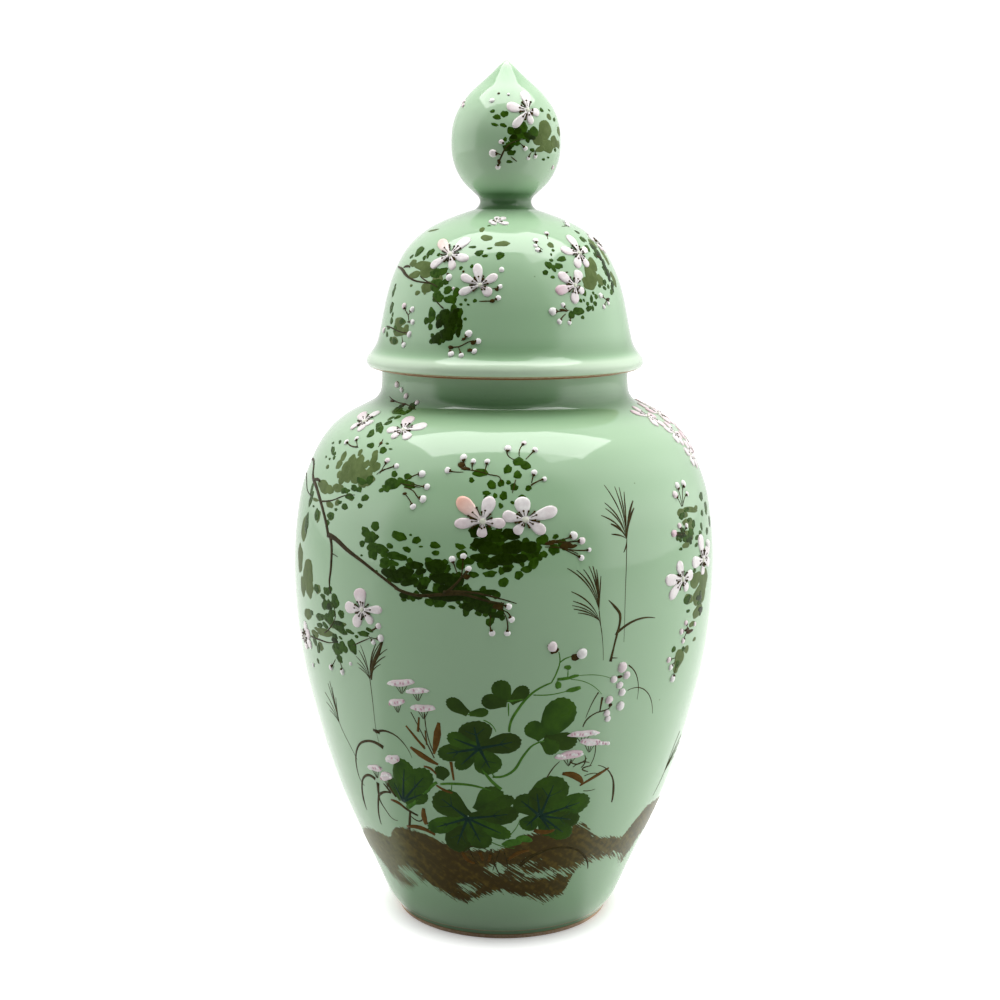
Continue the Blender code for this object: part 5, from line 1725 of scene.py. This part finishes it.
@dataclass
class Jar:
    """The jar: foot ring, lower and upper bowls luted at the belly, and neck ring."""

    outline: Outline = field(
        default_factory=lambda: Outline(
            [
                (50.2, 0), (51.4, 3), (55.1, 8), (62.7, 25), (77.9, 60), (84.7, 80), (90.2, 100), (94.8, 120),
                (97.7, 140), (99.0, 162), (98.6, 180), (96.9, 195), (95.0, 205), (91.5, 215), (86.8, 225),
                (80.6, 233.3), (73.6, 238.8), (66.2, 242.7),
                (60.6, 245.9), (58.1, 249.3), (57.4, 254), (57.4, 260.5),
            ]
        )
    )
    foot_height: float = 5.0
    foot_width: float = 7.0
    floor: float = 12.0
    belly: float = 162.0
    neck: float = 247.0
    mouth: float = 260.5
    wall: float = 5.5
    throat: float = 52.5
    rounding: float = 0.8

    def build(self, glaze: bpy.types.Material) -> list[bpy.types.Object]:
        """Builds the four shells and sets them to ride on the jar's body."""
        pieces = (self.foot_ring(), self.lower_bowl(), self.upper_bowl(), self.neck_ring())
        slots = ("bare_biscuit", "celadon_glaze", "celadon_glaze", "celadon_glaze")
        return [p.mount(glaze, "jar", p.name.removeprefix("jar_"), slot) for p, slot in zip(pieces, slots)]

    def foot_ring(self) -> TurnedPiece:
        """The foot ring: glazed outside, wiped bare under it."""
        inner, top, turn = self.outline.points[0, 0] - self.foot_width, self.foot_height, self.rounding
        outer = self.outline.radius_at(turn)
        runs = [
            Run.fillet((outer - turn, turn), turn, -90, 0, 1.0),
            self.outline.stretch(turn, top),
            *Run.straight([(self.outline.radius_at(top), top), (inner, top), (inner, turn)], 1.0),
            Run.fillet((inner + turn, turn), turn, 180, 270, 1.0),
            *Run.straight([(inner + turn, 0), (outer - turn, 0)], 1.0),
        ]
        return TurnedPiece("jar_foot_ring", runs, glaze_line=2.0)

    def lower_bowl(self) -> TurnedPiece:
        """The lower bowl, from the foot ring to the belly seam."""
        edge = self.outline.radius_at(self.foot_height)
        inner = self.outline.wall(self.floor + 2.5, self.belly, self.wall)
        foot = inner.points[-1, 0]
        runs = [
            *Run.straight([(0, self.foot_height), (edge, self.foot_height)]),
            self.outline.stretch(self.foot_height, self.belly),
            *Run.straight([(self.outline.radius_at(self.belly), self.belly), tuple(inner.points[0])]),
            inner,
            *Run.straight([(foot, self.floor + 2.5), (foot - 2.5, self.floor), (0, self.floor)]),
        ]
        return TurnedPiece("jar_lower_bowl", runs)

    def upper_bowl(self) -> TurnedPiece:
        """The upper bowl, from the belly seam over the shoulder to the neck."""
        inner = self.outline.wall(self.belly, self.neck, self.wall)
        first, last = tuple(inner.points[0]), tuple(inner.points[-1])
        runs = [
            self.outline.stretch(self.belly, self.neck),
            *Run.straight([(self.outline.radius_at(self.neck), self.neck), first]),
            inner,
            *Run.straight([last, (self.outline.radius_at(self.belly), self.belly)]),
        ]
        return TurnedPiece("jar_upper_bowl", runs)

    def neck_ring(self) -> TurnedPiece:
        """The neck, with a rounded mouth that is wiped bare for the lid."""
        turn, foot = self.rounding, float(self.outline.wall(self.belly, self.neck, self.wall).points[0, 0])
        outer = self.outline.radius_at(self.mouth)
        runs = [
            self.outline.stretch(self.neck, self.mouth - turn),
            Run.fillet((outer - turn, self.mouth - turn), turn, 0, 90, 0.5),
            *Run.straight([(outer - turn, self.mouth), (self.throat + turn, self.mouth)], 1.0),
            Run.fillet((self.throat + turn, self.mouth - turn), turn, 90, 180, 0.5),
            *Run.straight(
                [(self.throat, self.mouth - turn), (self.throat, self.neck + 3), (foot, self.neck)]
            ),
            *Run.straight([(foot, self.neck), (self.outline.radius_at(self.neck), self.neck)]),
        ]
        return TurnedPiece("jar_neck_ring", runs)


@dataclass
class Lid:
    """The lid: flared rim, locating ring, dome, and onion finial on its short stem."""

    outline: Outline = field(
        default_factory=lambda: Outline(
            [
                (62.2, 260.8), (63.8, 262.2), (64.3, 264.0),
                (63.6, 266.0), (61.6, 268.4), (59.5, 272), (58.0, 278),
                (56.6, 285), (54.4, 295), (51.0, 305), (45.5, 315), (38.6, 322), (30.2, 327.1), (20.6, 330.9),
                (14.2, 333),
            ]
        )
    )
    finial: Outline = field(
        default_factory=lambda: Outline(
            [
                (14.2, 333), (12.5, 334.6), (11.8, 336.6),
                (12.4, 338.5), (14.6, 340.7), (19.1, 345), (22.6, 350.6),
                (24.6, 357), (25.0, 363.5), (24.3, 371), (21.7, 378), (16.6, 385), (10.0, 391), (5.4, 395.2),
                (2.7, 398), (0.9, 399.5), (0, 400),
            ],
            step=1.6,
        )
    )
    seat: float = 260.8
    rim_seam: float = 272.0
    wall: float = 4.7
    ring_radius: float = 51.0
    ring_wall: float = 4.0
    ring_depth: float = 12.0
    dome_top: float = 333.0
    stem_top: float = 338.0
    vent: float = 3.0
    cavity: Place = (19.0, 20.0)
    bulb_middle: float = 363.5
    rounding: float = 0.8

    def build(self, glaze: bpy.types.Material) -> None:
        """Builds the five shells and sets them to ride on the lid's body."""
        for piece in (self.rim(), self.locating_ring(), self.dome(), self.stem(), self.bulb()):
            slot = "bare_biscuit" if piece.name == "locating_ring" else "celadon_glaze"
            piece.mount(glaze, "lid", piece.name, slot)

    def rim(self) -> TurnedPiece:
        """The flared rim: glazed outside, bare on the seat."""
        top, inner = self.rim_seam, self.ring_radius - self.ring_wall
        foot, ledge = self.outline.radius_at(top) - self.wall, self.seat + self.wall
        turn = [(foot - 1, ledge + 2.2), (foot - 3.2, ledge)]
        section = [(foot, top), *turn, (inner, ledge), (inner, self.seat)]
        edge = self.outline.points[0]
        runs = [
            self.outline.stretch(self.seat, top),
            *Run.straight([(self.outline.radius_at(top), top), *section]),
            *Run.straight([(inner, self.seat), (edge[0], self.seat)], 1.0),
        ]
        return TurnedPiece("lid_rim", runs, glaze_line=self.seat + 0.5, glaze_blur=0.9)

    def locating_ring(self) -> TurnedPiece:
        """The ring under the lid that drops into the neck: bare clay all over."""
        top = self.seat
        foot, inner, turn = top - self.ring_depth, self.ring_radius - self.ring_wall, self.rounding
        runs = [
            Run.fillet((self.ring_radius - turn, foot + turn), turn, -90, 0, 1.0),
            *Run.straight([(self.ring_radius, foot + turn), (self.ring_radius, top)], 1.0),
            *Run.straight([(self.ring_radius, top), (inner, top), (inner, foot + turn)], 1.0),
            Run.fillet((inner + turn, foot + turn), turn, 180, 270, 1.0),
            *Run.straight([(inner + turn, foot), (self.ring_radius - turn, foot)], 1.0),
        ]
        return TurnedPiece("locating_ring", runs)

    def dome(self) -> TurnedPiece:
        """The dome, with the vent hole through its crown."""
        crown = self.dome_top - self.wall
        inner = self.outline.wall(self.rim_seam, crown, self.wall)
        edge, first, last = self.outline.points[-1, 0], tuple(inner.points[0]), tuple(inner.points[-1])
        runs = [
            self.outline.stretch(self.rim_seam, self.dome_top),
            *Run.straight([(edge, self.dome_top), (self.vent, self.dome_top), (self.vent, crown), first]),
            inner,
            *Run.straight([last, (self.outline.radius_at(self.rim_seam), self.rim_seam)]),
        ]
        return TurnedPiece("lid_dome", runs)

    def stem(self) -> TurnedPiece:
        """The finial's waisted stem."""
        low, high = self.dome_top, self.stem_top
        section = [(self.finial.radius_at(high), high), (self.vent, high), (self.vent, low)]
        section.append((self.finial.points[0, 0], low))
        return TurnedPiece("finial_stem", [self.finial.stretch(low, high), *Run.straight(section)], 192)

    def bulb(self) -> TurnedPiece:
        """The hollow onion bulb, pinched to a point."""
        angles = np.linspace(90, -80, 14)
        reach = np.stack([np.cos(np.radians(angles)), np.sin(np.radians(angles))], axis=1)
        points = reach * np.array(self.cavity) + np.array([0.0, self.bulb_middle])
        points[0, 0] = 0.0
        cavity = Run(points, -reach, np.zeros(len(points)))
        low = self.stem_top
        end = (float(points[-1, 0]), float(points[-1, 1]))
        runs = [
            self.finial.stretch(low, self.finial.points[-1, 1]),
            cavity,
            *Run.straight([end, (self.vent, low), (self.finial.radius_at(low), low)]),
        ]
        return TurnedPiece("finial_bulb", runs, 192)


# The studio
# ----------


@dataclass
class Softbox:
    """A flat lamp behind a diffuser, facing a point."""

    name: str
    place: tuple[float, float, float]
    target: tuple[float, float, float]
    size: tuple[float, float]
    radiance: float
    roll: float = 0.0

    def build(self) -> None:
        """Hangs the lamp. Its power gives the wanted radiance over its face."""
        light = bpy.data.lights.new(self.name, "AREA")
        light.shape = "RECTANGLE"
        light.size, light.size_y = self.size
        light.energy = self.radiance * self.size[0] * self.size[1] * math.pi
        lamp = bpy.data.objects.new(self.name, light)
        way = Vector(self.target) - Vector(self.place)
        lamp.rotation_euler = way.to_track_quat("-Z", "Y").to_euler()
        lamp.rotation_euler.rotate_axis("Z", math.radians(self.roll))
        lamp.location = self.place
        bpy.context.scene.collection.objects.link(lamp)


@dataclass
class Studio:
    """A white tent that falls into shade towards the camera, and softboxes overhead.

    The floor carries painted shade towards the camera and a painted glow round the sides and back.
    """

    tent: float = 1.02
    shade: float = 0.0
    shade_azimuth: float = -8.0
    shade_angles: Place = (50.0, 66.0)
    left_boost: float = 0.74
    right_boost: float = 1.0
    ceiling: float = 0.0
    backdrop: float = 1.1
    burnt_from: Place = (0.035, 0.078)
    floor_size: float = 6.0
    floor_tone: str = "#E5E5E4"
    # The floor's painted shade towards the camera and its painted glow round the sides and back, for all but
    # camera rays.
    floor_shaded: str = "#B5B5B5"
    floor_glow: float = 0.4
    camera_place: tuple[float, float, float] = (-0.00196, -0.789, 0.328)
    camera_dip: float = 9.39
    camera_roll: float = 0.27
    lens: float = 60.84
    softboxes: Sequence[Softbox] = (
        Softbox("overhead_softbox", (0.04, -0.02, 1.25), (0.04, -0.02, 0.0), (1.45, 0.74), 5.0),
        Softbox("corner_softbox", (0.46, -0.42, 1.25), (0.46, -0.42, 0.0), (0.3, 0.3), 2.5, 45.0),
    )

    def build(self) -> None:
        """Builds the tent, the lamps, the floor and the camera."""
        self.light_tent()
        for softbox in self.softboxes:
            softbox.build()
        self.lay_floor()
        self.set_camera()

    def towards_camera(self, add: Add, way: Any, result: Place) -> Any:
        """Maps a direction from one level, round the sides and the back, to another towards the camera."""
        turn = math.radians(self.shade_azimuth)
        axis = (math.sin(turn), -math.cos(turn), 0.0)
        towards = add("VectorMath", {0: way, 1: axis}, "Value", operation="DOT_PRODUCT")
        near, far = (math.cos(math.radians(a)) for a in self.shade_angles)
        inputs = {"Value": towards, "From Min": far, "From Max": near}
        inputs |= {"To Min": result[0], "To Max": result[1]}
        return add("MapRange", inputs, interpolation_type="SMOOTHSTEP")

    def light_tent(self) -> None:
        """Lights the world: white round the sides and the back, dark towards the camera."""
        world = bpy.data.worlds.new("light_tent")
        world.use_nodes = True
        world.node_tree.nodes.clear()
        add = partial(add_node, world.node_tree)
        way = add("TexCoord", out="Generated")
        level = self.towards_camera(add, way, (self.tent, self.shade))
        parts = add("SeparateXYZ", {0: way}).node.outputs
        sides = (("X", 0.6, 1.0, self.right_boost), ("X", -0.6, -1.0, self.left_boost))
        for axis, low, high, change in (*sides, ("Z", 0.8, 0.93, self.ceiling - 1.0)):
            inputs = {"Value": parts[axis], "From Min": low, "From Max": high}
            inputs |= {"To Min": 1.0, "To Max": 1.0 + change}
            share = add("MapRange", inputs, interpolation_type="SMOOTHSTEP")
            level = add("Math", {0: level, 1: share}, operation="MULTIPLY")
        seen = add("LightPath", out="Is Camera Ray")
        shown = add("Mix", {0: seen, 2: level, 3: self.backdrop})
        add("OutputWorld", {"Surface": add("Background", {"Color": WHITE, "Strength": shown})})
        bpy.context.scene.world = world

    def lay_floor(self) -> None:
        """Lays the white floor: burnt out round the jar where the camera sees it.

        For all other rays its colour is painted darker towards the camera, as painted shade, and it
        glows round the sides and the back, as painted light.
        """
        material, add = new_material("white_floor_painted_light_and_shade")
        place = add("TexCoord", out="Object")
        grain = add("TexNoise", {"Vector": place, "Scale": 900.0, "Detail": 4.0})
        bump = add("Bump", {"Distance": 0.02 * MM, "Height": grain})
        way = add("VectorMath", {0: place}, operation="NORMALIZE")
        far = add("VectorMath", {0: place}, "Value", operation="LENGTH")
        inputs = {"Value": far, "From Min": self.burnt_from[0], "From Max": self.burnt_from[1]}
        burnt = add("MapRange", inputs, interpolation_type="SMOOTHSTEP")
        seen = add("LightPath", out="Is Camera Ray")
        tone, shaded = linear(self.floor_tone), linear(self.floor_shaded)
        # Painted shade: for all but camera rays the floor's colour darkens towards the camera.
        shade = self.towards_camera(add, way, (0.0, 1.0))
        colour = add("Mix", {0: shade, 6: tone, 7: shaded}, 2, data_type="RGBA")
        colour = add("Mix", {0: seen, 6: colour, 7: tone}, 2, data_type="RGBA")
        # Painted light: for all but camera rays the floor glows round the sides and back; the camera sees it
        # glow white away from the jar.
        glow = add("Mix", {0: seen, 2: self.towards_camera(add, way, (self.floor_glow, 0.0)), 3: burnt})
        inputs = {"Base Color": colour, "Roughness": 0.9, "Specular IOR Level": 0.1, "Normal": bump}
        inputs |= {"Emission Color": WHITE, "Emission Strength": glow}
        add("OutputMaterial", {"Surface": add("BsdfPrincipled", inputs)})
        half = self.floor_size / 2
        corners = [(-half, -half, 0), (half, -half, 0), (half, half, 0), (-half, half, 0)]
        floor = new_piece("floor", corners, [(0, 1, 2, 3)], material)

    def set_camera(self) -> None:
        """Sets the camera at the height of the shoulder's top, looking a little down."""
        data = bpy.data.cameras.new("camera")
        data.lens = self.lens
        data.sensor_width = 36.0
        camera = bpy.data.objects.new("camera", data)
        camera.location = self.camera_place
        camera.rotation_euler = (math.radians(90 - self.camera_dip), 0.0, 0.0)
        camera.rotation_euler.rotate_axis("Z", math.radians(self.camera_roll))
        bpy.context.scene.collection.objects.link(camera)
        bpy.context.scene.camera = camera
        bpy.context.scene.view_settings.view_transform = "Standard"
        bpy.context.scene.view_settings.look = "None"


def paint_jar(outline: Outline) -> Brush:
    """Paints the jar: boughs and meadow on the front, and the same again behind it."""
    brush = Brush(outline, "jar", "jar")
    for turn, mirrored in ((0.0, False), (180.0, True)):
        brush.face(turn, mirrored)
        for motif in (LEFT_BOUGH, FRONT_BOUGH, RIGHT_BOUGH, LOW_BOUGH, MEADOW):
            motif.paint(brush)
    return brush


def paint_lid(lid: Lid) -> list[Brush]:
    """Paints the dome and the finial, front and back."""
    dome = Brush(lid.outline, "dome", "lid", rng=random.Random(11))
    finial = Brush(lid.finial, "finial", "lid", rng=random.Random(13))
    for turn, mirrored in ((0.0, False), (180.0, True)):
        for motif in (DOME_LEFT, DOME_RIGHT):
            motif.paint(dome.face(turn, mirrored))
        FINIAL_SPRAY.paint(finial.face(turn, mirrored))
    return [dome, finial]


def main() -> None:
    """Builds the pot, paints it and lights it."""
    logging.basicConfig(level=logging.INFO, format="%(message)s")
    glaze = CeladonGlaze().build()
    jar, lid = Jar(), Lid()
    BANK.dress(jar.build(glaze), jar.outline)
    lid.build(glaze)
    materials = {enamel: enamel.value.build() for enamel in Enamel}
    for brush in (paint_jar(jar.outline), *paint_lid(lid)):
        brush.build(materials)
    Studio().build()


if __name__ == "__main__":
    main()
